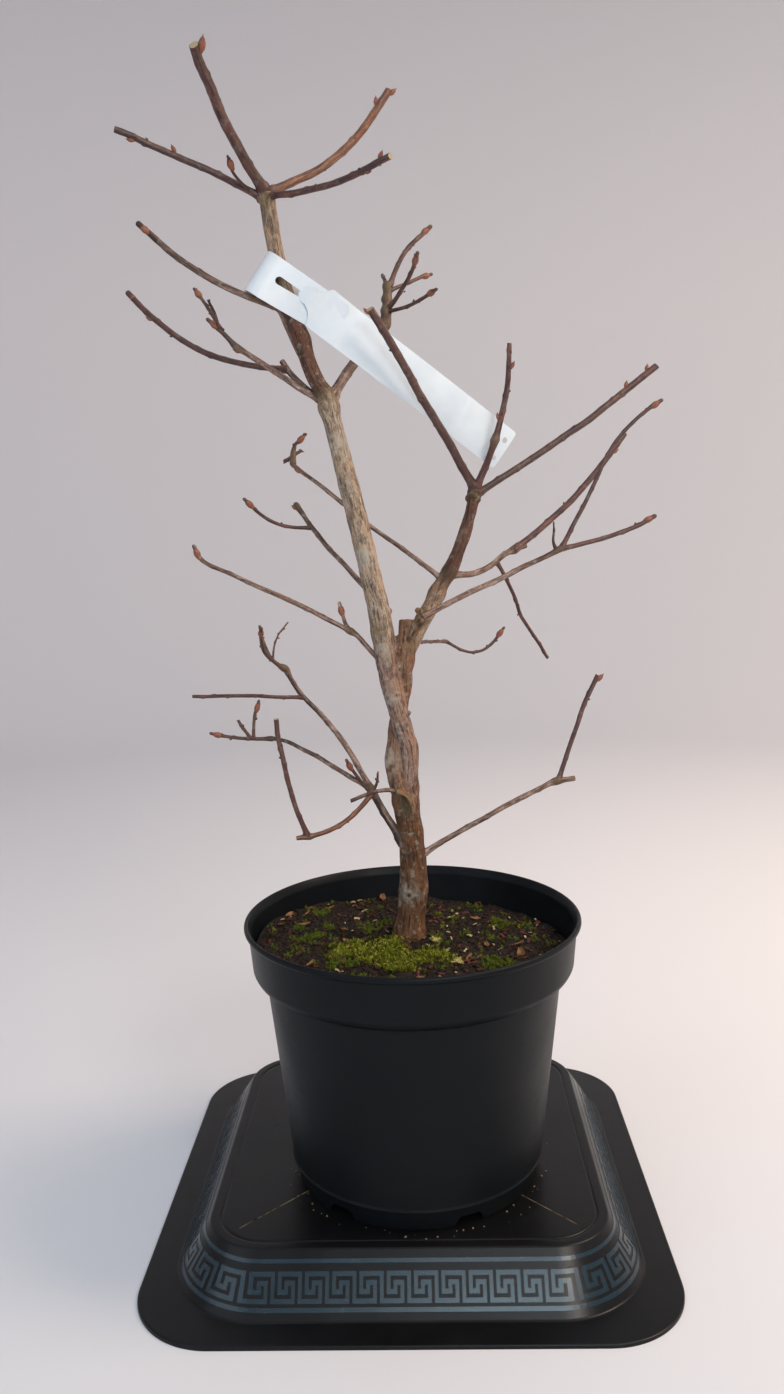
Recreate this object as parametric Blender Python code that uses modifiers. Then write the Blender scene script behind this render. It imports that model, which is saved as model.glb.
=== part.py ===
"""A bare potted azalea: a twisted trunk, its boughs and shoots in winter bud, a blank loop
label, a round nursery pot filled with soil, and the upturned square tray that it stands on.

Sizes are millimetres times MM, so the scene is in metres. +Z is up and -Y is the front.
The pot's axis is the design's axis. The last step moves everything so that the origin is
the bottom centre of the whole object's box.
"""

import math

import bmesh
import bpy
import numpy as np
from mathutils import Matrix, Vector

MM = 0.001
SEAT_GAP = 0.3 * MM  # what two pieces that touch keep between their meshes
AXIS_MERGE = 0.05 * MM

# The stand is a moulded tray turned upside down.
STAND_HALF = 157.5 * MM
STAND_CORNER = 49 * MM
STAND_SLOPE_HALF = 138 * MM
STAND_TOP_HALF = 117.5 * MM
STAND_TOP_CORNER = 34 * MM
STAND_HEIGHT = 33 * MM
STAND_WALL = 2.4 * MM
STAND_OFFSET = (-5 * MM, 28 * MM)
STAND_TURN = math.radians(-1.6)
CORNER_STEPS = 7

# The pot, as radius and height above the tray's top.
POT_RIM_RADIUS = 105 * MM
POT_HEIGHT = 165.2 * MM
POT_COLLAR_RADIUS = 101 * MM
POT_COLLAR_DEPTH = 34 * MM
POT_NECK_RADIUS = 92.3 * MM
POT_BASE_RADIUS = 79.8 * MM
POT_RIDGE_HEIGHT = 14 * MM
POT_FOOT_RADIUS = 76 * MM
POT_FOOT_DEPTH = 6.5 * MM
POT_WALL = 2.2 * MM
POT_SIDES = 72
NOTCH_COUNT = 6
NOTCH_WIDTH = 19 * MM
NOTCH_TOP_WIDTH = 13 * MM
NOTCH_HEIGHT = 6.2 * MM
NOTCH_TURN = math.radians(-68)

# The soil, as heights above the floor that the tray stands on.
SOIL_LEVEL = 181 * MM
SOIL_AT_TRUNK = 185 * MM
SOIL_SEAT_RADIUS = 15 * MM
MOSS_MOUND = 4.5 * MM
MOSS_MOUND_AT = (-18 * MM, -34 * MM)
MOSS_MOUND_RADIUS = 34 * MM

# The label is a strip of stiff film looped round the upper leader.
LABEL_WIDTH = 25.4 * MM
LABEL_THICKNESS = 0.6 * MM
LABEL_LOOP_WALL = 0.7 * MM
LABEL_LENGTH = 180 * MM
LABEL_FOLD = Vector((-79, -16.5, 584.5)) * MM
LABEL_RUN = Vector((0.799, 0.205, -0.567))
LABEL_RISE = Vector((0.578, 0.004, 0.816))
LABEL_LOOP_RADIUS = 8.2 * MM
LABEL_LOOP_START = 6 * MM
LABEL_BACK_END = 42 * MM
LABEL_BACK_DEPTH = 11.5 * MM
LABEL_LOOP_END = 51 * MM
LABEL_SLOT = (11 * MM, 30 * MM)
LABEL_SLOT_WIDTH = 3.8 * MM
FEED_HOLE_PITCH = 12.7 * MM
FEED_HOLE_WIDTH = 3.4 * MM
FEED_HOLE_SHIFT = 2.2 * MM
FEED_HOLE_INSET = 6 * MM

# The trunk: height above the soil, place to the right, width, all in mm, foot to sawn tip.
TRUNK_STATIONS = [
    (0, -2.2, 21.5), (4, -1.6, 19.4), (15, -0.2, 17.8), (31, 1.4, 18.0), (44, 1.8, 16.4),
    (66, 0.7, 15.6), (83, -2.1, 16.8), (93, -2.6, 16.4), (102, -4.1, 19.4), (111, -4.1, 20.0),
    (122, -3.3, 16.9), (133, -4.6, 13.4), (144, -6.1, 13.9), (156, -6.4, 18.0), (166, -5.6, 21.0),
    (176, -3.4, 18.0), (186, -0.6, 12.6), (199, 1.4, 11.2),
]
TRUNK_SIDES = 18
TRUNK_STEP = 6 * MM
TRUNK_TWIST = math.radians(300)
TRUNK_GROOVE = 0.09
TRUNK_LEAN_BACK = 4 * MM

# Limbs. Each leaves another limb at a share of its length, and runs in one or more legs.
# A leg is how far it goes to the right, to the back and up, then how far its middle bows to
# the left of its line, all in mm and seen from the front. Girths are its foot's and its
# tip's in mm. A bud or spur is a share of the length: positive stands out on the left.
LIMBS = {
    "leader": dict(on="trunk", at=0.83, girth=(14.4, 10.6), end="knob",
                   legs=[(-19, -7, 83, 1), (-18, 5, 80, 0)], knots=[0.27]),
    "upper_leader": dict(on="leader", at=1, girth=(9.4, 9.0), end="knob",
                         legs=[(-13, -2, 33, 2), (-17, -5, 80, 3)], knots=[]),
    "right_stem": dict(on="trunk", at=0.84, girth=(11.4, 6.6), end="knob",
                       legs=[(23, 11, 39, 0), (10, 4, 17, 1), (18, 5, 51, -2)], knots=[0.56]),
    "fork_spur": dict(on="trunk", at=0.88, girth=(5.4, 5.2), end="knob",
                      legs=[(14, -9, 24, 0)], knots=[]),
    "mid_right_bough": dict(on="fork_spur", at=1, girth=(3.2, 3.2), end="knob",
                            legs=[(85, 12, 38, 0)], knots=[], spurs=[0.92]),
    "top_shoot_front": dict(on="upper_leader", at=1, girth=(6.0, 5.0), end="cut",
                            legs=[(-26, -72, 49, 3)], buds=[-0.95]),
    "top_shoot_right": dict(on="upper_leader", at=1, girth=(4.6, 4.4), end="cut",
                            legs=[(71, 16, 59, -9.5)], buds=[0.88, -0.98]),
    "top_shoot_low_right": dict(on="upper_leader", at=0.99, girth=(3.7, 3.4), end="cut",
                                legs=[(70, -56, 1, -4.5)], buds=[-0.8, 0.92]),
    "top_shoot_left": dict(on="upper_leader", at=0.97, girth=(3.9, 3.5), end="cut",
                           legs=[(-78, -28, 30, -1)], buds=[0.87, -0.62]),
    "top_shoot_small": dict(on="top_shoot_left", at=0.12, girth=(1.9, 1.6), end="bud",
                            legs=[(-9, -20, 12, 2)]),
    "upper_left_shoot": dict(on="leader", at=0.94, girth=(4.1, 3.5), end="bud",
                             legs=[(-9, 10, 20, 0), (-18, -10, 41, 1), (-77, -15, 45, 6)]),
    "inner_bough": dict(on="leader", at=0.98, girth=(5.9, 5.6), end="knob",
                        legs=[(35, 28, 50, 2)], knots=[]),
    "left_bough": dict(on="leader", at=0.975, girth=(3.8, 3.0), end="knob",
                       legs=[(-54, 8, 36, 0)], knots=[], buds=[0.94]),
    "left_spur": dict(on="leader", at=0.985, girth=(3.8, 3.6), end="cut",
                      legs=[(-27, 12, 26, 3)]),
    "left_long_shoot": dict(on="left_spur", at=0.84, girth=(3.6, 3.4), end="bud",
                            legs=[(-98, 26, 52, 12.5)], buds=[0.8]),
    "inner_shoot": dict(on="right_stem", at=1, girth=(5.4, 4.3), end="cut",
                        legs=[(-61, -50, 98, 0)], buds=[0.985]),
    "upright_shoot": dict(on="right_stem", at=1, girth=(4.4, 2.7), end="cut",
                          legs=[(11, -11, 27, 0), (8, -14, 55, -3)], knots=[0.37],
                          buds=[-0.84, 0.5]),
    "right_shoot": dict(on="right_stem", at=0.97, girth=(4.3, 4.2), end="cut",
                        legs=[(116, 20, 77, -2.5)], buds=[0.83, 0.95]),
    "back_right_spur": dict(on="right_stem", at=0.55, girth=(4.1, 3.4), end="cut",
                            legs=[(38, 26, 11, -5), (14, 9, 5, 0)], knots=[0.85]),
    "back_right_shoot": dict(on="back_right_spur", at=0.84, girth=(4.0, 3.8), end="cut",
                             legs=[(77, 27, 74, -4.5)], buds=[-0.86]),
    "hanging_shoot": dict(on="back_right_spur", at=0.6, girth=(2.3, 2.1), end="cut",
                          legs=[(16, 15, -35, 2), (20, 13, -30, 0)]),
    "mid_right_shoot": dict(on="mid_right_bough", at=1, girth=(2.6, 2.3), end="bud",
                            legs=[(25, 2, 49, -1), (36, 2, 37, 4)]),
    "outer_right_shoot": dict(on="mid_right_bough", at=1, girth=(2.8, 2.7), end="bud",
                              legs=[(58, 6, 18, -3)]),
    "back_left_bough": dict(on="right_stem", at=0.51, girth=(3.0, 2.2), end="knob",
                            legs=[(-45, 11, 35, -0.5), (-47, 12, 39, -1)], buds=[0.94], knots=[]),
    "mid_left_bough": dict(on="leader", at=0.28, girth=(3.2, 3.0), end="knob",
                           legs=[(-42, 42, 46, 1), (-8, 9, 12, 0)], knots=[], buds=[0.97]),
    "mid_left_shoot": dict(on="mid_left_bough", at=0.77, girth=(2.2, 2.1), end="bud",
                           legs=[(-39, -21, 18, 6)]),
    "long_left_shoot": dict(on="trunk", at=0.82, girth=(3.0, 2.5), end="bud",
                            legs=[(-24, -4, 26, 1), (-84, -14, 44, -1), (-8, -2, 11, 2)],
                            knots=[0.27], spurs=[-0.28]),
    "low_bough": dict(on="trunk", at=0.24, girth=(5.6, 4.6), end="knob",
                      legs=[(-26, 8, 45, 0)], knots=[]),
    "low_cut_spur": dict(on="trunk", at=0.44, girth=(2.8, 2.5), end="cut",
                         legs=[(-18, -17, 8, -3), (-15, 2, -6, 0)]),
    "low_back_bough": dict(on="low_bough", at=1, girth=(3.4, 3.2), end="knob",
                           legs=[(-35, 48, 43, -3), (-21, 26, 24, 2)], knots=[]),
    "low_left_shoot": dict(on="low_back_bough", at=0.76, girth=(2.4, 2.2), end="cut",
                           legs=[(-74, -2, 3, -0.5)]),
    "low_left_bough": dict(on="low_bough", at=0.985, girth=(3.1, 2.7), end="knob",
                           legs=[(-48, 47, 19, -0.5), (-20, 17, 3, -2)], knots=[]),
    "low_front_bough": dict(on="low_bough", at=0.93, girth=(3.1, 2.9), end="cut",
                            legs=[(-46, -26, -21, 7)], knots=[0.88]),
    "low_front_shoot": dict(on="low_front_bough", at=0.88, girth=(3.0, 2.9), end="cut",
                            legs=[(-15, -11, 74, 3)]),
    "low_right_bough": dict(on="trunk", at=0.24, girth=(3.6, 3.2), end="cut",
                            legs=[(91, 13, 45, 1.5), (12, 1, 1, 0)], knots=[0.9]),
    "low_right_shoot": dict(on="low_right_bough", at=0.91, girth=(2.9, 2.7), end="cut",
                            legs=[(26, 7, 65, 1.5)], buds=[-0.95]),
}

# Masses of fine twigs. The first twig is the stem, and the others branch from it.
TWIG_MASSES = {
    "inner_twigs": [
        dict(on="inner_bough", at=1, girth=(4.8, 4.4), end="cut", legs=[(2, 8, 25, 0)]),
        dict(at=0.55, girth=(2.9, 2.5), end="bud", legs=[(28, 14, 44, 5)]),
        dict(at=0.1, girth=(2.8, 2.4), end="bud", legs=[(19, -24, 27, -3)]),
        dict(at=0.7, girth=(2.3, 2.1), end="bud", legs=[(28, 22, 15, 1)]),
        dict(at=0.05, girth=(2.3, 2.1), end="bud", legs=[(29, -34, 5, -2)]),
        dict(at=0.9, girth=(2.2, 2.0), end="cut", legs=[(-3, 9, 9, 0)]),
    ],
    "left_twigs": [
        dict(on="left_bough", at=1, girth=(2.9, 2.4), end="bud", legs=[(-15, -5, 15, -1)]),
        dict(at=0.4, girth=(2.2, 1.9), end="bud", legs=[(-17, 14, 27, -1)]),
        dict(at=0.5, girth=(1.7, 1.4), end="cut", legs=[(-4, -12, 14, -1)]),
    ],
    "back_left_twigs": [
        dict(on="back_left_bough", at=1, girth=(2.3, 2.0), end="bud", legs=[(8, 7, 19, 4)]),
        dict(at=-0.02, girth=(2.0, 2.2), end="cut", legs=[(-6, 2, -3, 0)]),
        dict(at=0.02, girth=(1.8, 1.6), end="cut", legs=[(5, 3, 3, 0)]),
    ],
    "back_twig": [
        dict(on="trunk", at=0.915, girth=(2.2, 2.0), end="knob", legs=[(30, 68, -5, 1)]),
        dict(at=1, girth=(2.0, 1.9), end="bud", legs=[(40, 12, 7, -12)]),
    ],
    "low_hub_twigs": [
        dict(on="low_bough", at=0.9, girth=(2.3, 2.0), end="bud", legs=[(-16, -9, 24, 2)]),
        dict(at=0.25, girth=(1.9, 1.2), end="cut", legs=[(5, -3, 9, -1)]),
    ],
    "low_back_twigs": [
        dict(on="low_back_bough", at=1, girth=(2.9, 2.4), end="bud", legs=[(-12, -34, 31, 7)]),
        dict(at=0.08, girth=(2.3, 2.1), end="cut", legs=[(-8, 8, 23, 1)]),
        dict(at=0.05, girth=(1.5, 1.0), end="cut", legs=[(10, 15, 25, 3)]),
    ],
    "low_left_twigs": [
        dict(on="low_left_bough", at=1, girth=(2.5, 2.1), end="bud", legs=[(-39, -8, 6, 2)]),
        dict(at=0.1, girth=(2.1, 2.0), end="cut", legs=[(-9, 6, 12, 0)]),
        dict(at=0.05, girth=(2.1, 2.0), end="bud", legs=[(4, 6, 25, 1)]),
    ],
}

LIMB_STEP = 9 * MM
KNOT_SWELL = 1.35
KNOT_REACH = 4 * MM
COLLAR_SWELL = 1.3
BUD_LENGTH = 7.5 * MM
BUD_WIDTH = 3.8 * MM
BUD_SPREAD = math.radians(38)
SPUR_LENGTH = 12 * MM
SPUR_WIDTH = 1.9 * MM
STOUT_GIRTH = 6.5 * MM  # limbs with a foot over this have eight sides, the others six
LONGEST_FOOT = 34 * MM
COLLAR_LENGTH = 4 * MM


def clear_scene():
    for obj in list(bpy.data.objects):
        bpy.data.objects.remove(obj, do_unlink=True)


def new_collection(name):
    made = bpy.data.collections.new(name)
    bpy.context.scene.collection.children.link(made)
    return made


def new_material(name, colour, roughness, metallic=0.0):
    made = bpy.data.materials.new(name)
    made.use_nodes = True
    shader = made.node_tree.nodes["Principled BSDF"]
    shader.inputs["Base Color"].default_value = (*colour, 1.0)
    shader.inputs["Roughness"].default_value = roughness
    shader.inputs["Metallic"].default_value = metallic
    return made


def add_object(name, data, material=None):
    obj = bpy.data.objects.new(name, data)
    parts.objects.link(obj)
    if material:
        data.materials.clear()
        data.materials.append(material)
    return obj


def evaluated_mesh(obj, name):
    """What the object looks like after its modifiers, as a mesh of its own."""
    graph = bpy.context.evaluated_depsgraph_get()
    graph.update()
    mesh = bpy.data.meshes.new_from_object(obj.evaluated_get(graph))
    mesh.name = name
    return mesh


def baked(obj):
    """The same object, with its modifiers applied or its curve made a welded mesh."""
    name, matrix = obj.name, obj.matrix_world.copy()
    mesh = evaluated_mesh(obj, name)
    bpy.data.objects.remove(obj, do_unlink=True)
    work = bmesh.new()
    work.from_mesh(mesh)
    bmesh.ops.remove_doubles(work, verts=work.verts, dist=0.01 * MM)
    work.to_mesh(mesh)
    work.free()
    made = add_object(name, mesh)
    made.matrix_world = matrix
    return made


def smooth(obj, degrees=40):
    obj.data.shade_smooth()
    obj.data.set_sharp_from_angle(angle=math.radians(degrees))


def largest_body(obj):
    """Drops the scraps that a seat's cut can leave loose."""
    work = bmesh.new()
    work.from_mesh(obj.data)
    left = set(work.verts)
    bodies = []
    while left:
        body = {left.pop()}
        edge = list(body)
        while edge:
            vertex = edge.pop()
            found = {link.other_vert(vertex) for link in vertex.link_edges} & left
            left -= found
            body |= found
            edge += found
        bodies.append(body)
    keep = max(bodies, key=len)
    bmesh.ops.delete(work, geom=[v for v in work.verts if v not in keep], context="VERTS")
    work.to_mesh(obj.data)
    work.free()


def joined(name, pieces, material):
    """Several closed meshes fused into one."""
    base, rest = pieces[0], pieces[1:]
    if rest:
        group = new_collection(name + "_pieces")
        for piece in rest:
            parts.objects.unlink(piece)
            group.objects.link(piece)
        union = base.modifiers.new("fuse", "BOOLEAN")
        union.operation = "UNION"
        union.operand_type = "COLLECTION"
        union.collection = group
        union.solver = "MANIFOLD"
        base = baked(base)
        for piece in rest:
            bpy.data.objects.remove(piece, do_unlink=True)
        bpy.data.collections.remove(group)
    base.name = name
    base.data.name = name
    base.data.materials.clear()
    base.data.materials.append(material)
    smooth(base, 50)
    return base


def cut(obj, cutters):
    """Subtracts the cutters, and leaves them as hidden guides."""
    for cutter in cutters:
        parts.objects.unlink(cutter)
        guides.objects.link(cutter)
        cutter.hide_render = True
        cutter.display_type = "WIRE"
        difference = obj.modifiers.new("cut_" + cutter.name, "BOOLEAN")
        difference.operation = "DIFFERENCE"
        difference.object = cutter
        difference.solver = "EXACT"


def turned(name, profile, sides, material):
    """A profile of (radius, height) pairs turned round the Z axis."""
    mesh = bpy.data.meshes.new(name)
    points = [(radius, 0.0, height) for radius, height in profile]
    edges = [(k, k + 1) for k in range(len(points) - 1)]
    mesh.from_pydata(points, edges, [])
    obj = add_object(name, mesh, material)
    screw = obj.modifiers.new("turn", "SCREW")
    screw.steps = sides
    screw.render_steps = sides
    screw.use_merge_vertices = True
    screw.merge_threshold = AXIS_MERGE
    screw.use_smooth_shade = True
    return obj


def rounded_square(half, corner, height):
    """One ring of a square with round corners, counterclockwise from above."""
    ring = []
    inset = half - corner
    for quarter in range(4):
        start = quarter * math.pi / 2
        middle = start + math.pi / 4
        centre_x = math.copysign(inset, math.cos(middle))
        centre_y = math.copysign(inset, math.sin(middle))
        for step in range(CORNER_STEPS + 1):
            angle = start + step / CORNER_STEPS * math.pi / 2
            ring.append((centre_x + corner * math.cos(angle),
                         centre_y + corner * math.sin(angle), height))
    return ring


def lofted(name, rings, material=None):
    """A closed skin through rings of equal counts, with a cap on each end."""
    work = bmesh.new()
    rows = [[work.verts.new(point) for point in ring] for ring in rings]
    count = len(rings[0])
    for lower, upper in zip(rows[:-1], rows[1:]):
        for k in range(count):
            after = (k + 1) % count
            work.faces.new((lower[k], lower[after], upper[after], upper[k]))
    work.faces.new(list(reversed(rows[0])))
    work.faces.new(rows[-1])
    bmesh.ops.recalc_face_normals(work, faces=work.faces)
    mesh = bpy.data.meshes.new(name)
    work.to_mesh(mesh)
    work.free()
    return add_object(name, mesh, material)


def build_stand(material):
    """The flange lies on the floor, and the hollow underneath is open."""
    slope_corner = STAND_TOP_CORNER + STAND_SLOPE_HALF - STAND_TOP_HALF
    top = STAND_HEIGHT
    wall = STAND_WALL
    edge = 1.2 * MM
    outside = [
        (STAND_HALF, STAND_CORNER, 0),
        (STAND_HALF, STAND_CORNER, wall - edge),
        (STAND_HALF - edge, STAND_CORNER - edge, wall),
        (STAND_SLOPE_HALF + 2 * edge, slope_corner + 2 * edge, wall),
        (STAND_SLOPE_HALF, slope_corner, wall + edge),
        (STAND_TOP_HALF + 1.5 * edge, STAND_TOP_CORNER + 1.5 * edge, top - 1.4 * edge),
        (STAND_TOP_HALF, STAND_TOP_CORNER, top),
    ]
    inside = [
        (STAND_SLOPE_HALF - wall, slope_corner - wall, 0),
        (STAND_TOP_HALF - wall, STAND_TOP_CORNER - wall, top - wall),
    ]
    rings = [rounded_square(*row) for row in reversed(inside)]
    rings += [rounded_square(*row) for row in outside]
    stand = lofted("stand", rings, material)
    stand.location = (*STAND_OFFSET, 0)
    stand.rotation_euler = (0, 0, STAND_TURN)
    smooth(stand, 35)
    return stand


def pot_outline():
    """Outer and inner wall as (radius, height) pairs from the foot to the rim."""
    floor = STAND_HEIGHT + SEAT_GAP
    rim = floor + POT_HEIGHT
    collar = rim - POT_COLLAR_DEPTH
    ridge = floor + POT_RIDGE_HEIGHT
    wall = POT_WALL
    outer = [
        (POT_FOOT_RADIUS, floor),
        (POT_FOOT_RADIUS + 1.4 * MM, ridge - 1.5 * MM),
        (POT_BASE_RADIUS + 0.8 * MM, ridge - 0.6 * MM),
        (POT_BASE_RADIUS, ridge + 1.2 * MM),
        (POT_NECK_RADIUS, collar - 1.5 * MM),
        (POT_COLLAR_RADIUS - 6.5 * MM, collar + 0.2 * MM),
        (POT_COLLAR_RADIUS - 2.6 * MM, collar + 2 * MM),
        (POT_COLLAR_RADIUS - 0.8 * MM, collar + 5.5 * MM),
        (POT_COLLAR_RADIUS + 1.3 * MM, rim - 4.6 * MM),
        (POT_RIM_RADIUS - 0.9 * MM, rim - 4.2 * MM),
        (POT_RIM_RADIUS, rim - 2.8 * MM),
        (POT_RIM_RADIUS - 0.3 * MM, rim - 0.9 * MM),
        (POT_RIM_RADIUS - 1.6 * MM, rim),
    ]
    inner = [
        (POT_FOOT_RADIUS - 0.6 * MM, floor + POT_FOOT_DEPTH + wall),
        (POT_BASE_RADIUS - wall, ridge + 2 * MM),
        (POT_NECK_RADIUS - wall, collar - 1 * MM),
        (POT_COLLAR_RADIUS - 3 * MM, collar + 6 * MM),
        (POT_COLLAR_RADIUS - 0.7 * MM, rim - 5 * MM),
        (POT_RIM_RADIUS - 2.7 * MM, rim - 0.8 * MM),
    ]
    return outer, inner


def build_pot(material):
    outer, inner = pot_outline()
    under = STAND_HEIGHT + SEAT_GAP + POT_FOOT_DEPTH
    foot_inside = POT_FOOT_RADIUS - 2.8 * MM
    profile = [(0, under + POT_WALL)] + inner + outer[::-1]
    profile += [(foot_inside, outer[0][1]), (foot_inside + 0.4 * MM, under), (0, under)]
    pot = turned("pot", profile, POT_SIDES, material)
    roof = STAND_HEIGHT + SEAT_GAP + NOTCH_HEIGHT
    floor = STAND_HEIGHT - 1 * MM
    outline = [(-NOTCH_WIDTH / 2, floor), (NOTCH_WIDTH / 2, floor),
               (NOTCH_TOP_WIDTH / 2, roof), (-NOTCH_TOP_WIDTH / 2, roof)]
    cutters = []
    for k in range(NOTCH_COUNT):
        ends = [[(reach, y, z) for y, z in outline]
                for reach in (POT_FOOT_RADIUS - 5 * MM, POT_FOOT_RADIUS + 6 * MM)]
        notch = lofted(f"notch_{k}", ends)
        angle = NOTCH_TURN + k * 2 * math.pi / NOTCH_COUNT
        notch.data.transform(Matrix.Rotation(angle, 4, "Z"))
        cutters.append(notch)
    cut(pot, cutters)
    return pot


def soil_height(x, y):
    """Height of the soil's top: a seat at the trunk, a moss mound, and a drop at the back."""
    radius = math.hypot(x, y)
    level = SOIL_LEVEL - 0.045 * x - 0.045 * y
    level += 0.9 * MM * math.sin(90 * x + 1.3) * math.cos(75 * y)
    level += 0.6 * MM * math.sin(210 * x - 140 * y)
    away = math.hypot(x - MOSS_MOUND_AT[0], y - MOSS_MOUND_AT[1]) / MOSS_MOUND_RADIUS
    level += MOSS_MOUND * math.exp(-away * away)
    near = min(1.0, max(0.0, (radius - SOIL_SEAT_RADIUS) / (14 * MM)))
    return SOIL_AT_TRUNK + (level - SOIL_AT_TRUNK) * near * near * (3 - 2 * near)


def build_root_ball(material):
    """The soil fills the pot, a hair inside its wall."""
    _, inner = pot_outline()
    wall = [(radius - SEAT_GAP, height) for radius, height in inner[:4]]
    wall[0] = (wall[0][0], wall[0][1] + SEAT_GAP)
    brim = POT_COLLAR_RADIUS - 2.5 * MM
    rings = [0.9, 0.76, 0.62, 0.48, 0.36, 0.25, 0.155]
    profile = [(0, SOIL_AT_TRUNK)] + [(brim * share, SOIL_LEVEL) for share in reversed(rings)]
    profile += [(brim, SOIL_LEVEL)] + wall[::-1] + [(0, wall[0][1])]
    ball = baked(turned("root_ball", profile, POT_SIDES // 2, material))
    heights = [height for _, height in inner]
    for vertex in ball.data.vertices:
        if vertex.co.z > SOIL_LEVEL - 0.1 * MM:
            vertex.co.z = soil_height(vertex.co.x, vertex.co.y)
            radius = vertex.co.xy.length
            if radius > 0.95 * brim:
                room = np.interp(vertex.co.z, heights, [r for r, _ in inner]) - SEAT_GAP
                vertex.co.xy *= float(room) / radius
    ball.data.materials.append(material)
    smooth(ball, 60)
    return ball


def trunk_line():
    """The trunk's centre line and radii, evenly spaced between its stations."""
    stations = np.array(TRUNK_STATIONS) * MM
    heights = np.linspace(0, stations[-1, 0], int(stations[-1, 0] / TRUNK_STEP) + 1)
    side = np.interp(heights, stations[:, 0], stations[:, 1])
    width = np.interp(heights, stations[:, 0], stations[:, 2])
    back = TRUNK_LEAN_BACK * heights / heights[-1] - 2 * MM
    foot = SOIL_AT_TRUNK + SEAT_GAP
    points = [Vector((x, y, foot + h)) for x, y, h in zip(side, back, heights)]
    return points, list(width / 2)


def trunk_skin(name, points, radii):
    """Two stems grown together: a grooved section that turns as it climbs."""
    rings = []
    for k, (centre, radius) in enumerate(zip(points, radii)):
        climb = k / (len(points) - 1)
        groove = TRUNK_GROOVE * math.sin(math.pi * min(1, climb * 1.1)) ** 0.5
        ring = []
        for step in range(TRUNK_SIDES):
            angle = step * 2 * math.pi / TRUNK_SIDES
            lobe = math.cos(2 * (angle - TRUNK_TWIST * climb))
            reach = radius * (1 - groove * (0.5 - 0.5 * lobe))
            ring.append(centre + Vector((math.cos(angle), math.sin(angle), 0)) * reach)
        rings.append(ring)
    return lofted(name, rings)


def build_trunk(material):
    trunk = trunk_skin("trunk", *lines["trunk"])
    trunk.data.materials.append(material)
    smooth(trunk, 50)
    return trunk


def place_on(line, share):
    """The point and the heading at a share of a line's length."""
    points = line[0]
    lengths = [(b - a).length for a, b in zip(points[:-1], points[1:])]
    left = share * sum(lengths)
    for k, length in enumerate(lengths):
        if left <= length or k == len(lengths) - 1:
            along = min(1.0, left / length)
            return points[k].lerp(points[k + 1], along), (points[k + 1] - points[k]).normalized()
        left -= length


def limb_line(foot, spec):
    """Centre points and radii of a limb from its foot on another limb's axis."""
    points = [foot]
    for right, back, up, bow in spec["legs"]:
        start = points[-1]
        reach = Vector((right, back, up)) * MM
        side = Vector((-up, 0, right)).normalized() * bow * MM
        steps = max(2, round(reach.length / LIMB_STEP))
        for k in range(1, steps + 1):
            share = k / steps
            points.append(start + reach * share + side * math.sin(math.pi * share))
    first, last = (girth * MM / 2 for girth in spec["girth"])
    gaps = [0.0] + [(b - a).length for a, b in zip(points[:-1], points[1:])]
    run = np.cumsum(gaps)
    radii = [first + (last - first) * at / run[-1] for at in run]
    return swollen(points, radii, run, spec)


def swollen(points, radii, run, spec):
    """Adds a ring at each knot, and swells the limb there and at a knob on its end."""
    knots = [share * run[-1] for share in spec.get("knots", [])]
    marks = sorted(set(run) | {knot + d for knot in knots for d in (-KNOT_REACH, 0, KNOT_REACH)})
    kept = [marks[0]]
    for mark in marks[1:]:
        clash = mark - kept[-1] < KNOT_REACH * 0.6
        if clash and mark in knots:
            kept[-1] = mark
        elif not clash:
            kept.append(mark)
    kept[-1] = run[-1]
    columns = np.array([tuple(point) for point in points])
    out_points = [Vector([np.interp(mark, run, columns[:, k]) for k in range(3)]) for mark in kept]
    out_radii = []
    for mark in kept:
        near = min((abs(mark - knot) for knot in knots), default=1.0)
        swell = 1 + (KNOT_SWELL - 1) * max(0.0, 1 - near / KNOT_REACH)
        out_radii.append(float(np.interp(mark, run, radii)) * swell)
    if spec["end"] == "knob":
        out_radii[-1] *= COLLAR_SWELL
    return out_points, out_radii


def skin_distance(point, line):
    """How far a point is outside a limb's skin."""
    points, radii = line
    best = 1.0
    for k in range(len(points) - 1):
        a, b = points[k], points[k + 1]
        run = b - a
        share = min(1.0, max(0.0, (point - a).dot(run) / run.length_squared))
        radius = radii[k] + (radii[k + 1] - radii[k]) * share
        best = min(best, (point - a - run * share).length - radius)
    return best


def tube(name, points, radii, end, stout):
    """A limb as a round curve, made a mesh with welded caps."""
    points, radii = list(points), list(radii)
    run = (points[-1] - points[-2]).normalized()
    last = radii[-1]
    if end == "knob":
        tip = points[-1]
        points += [tip + run * last * math.sin(a) for a in (0.6, 1.15)]
        radii += [last * math.cos(a) for a in (0.6, 1.15)]
    elif end == "bud":
        tip = points[-1]
        while len(points) > 1 and (tip - points[-1]).length < BUD_LENGTH + 1.5 * MM:
            points.pop()
            radii.pop()
        run = (tip - points[-1]).normalized()
        points += [tip - run * BUD_LENGTH * back for back in (1, 0.65, 0.3, 0)]
        radii += [last] + [BUD_WIDTH * share for share in (0.5, 0.36, 0.08)]
    curve = bpy.data.curves.new(name, "CURVE")
    curve.dimensions = "3D"
    curve.bevel_depth = MM
    curve.bevel_resolution = 2 if stout else 1
    curve.use_fill_caps = True
    spline = curve.splines.new("POLY")
    spline.points.add(len(points) - 1)
    for place, point, radius in zip(spline.points, points, radii):
        place.co = (*point, 1)
        place.radius = radius / MM
    return baked(add_object(name, curve))


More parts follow.
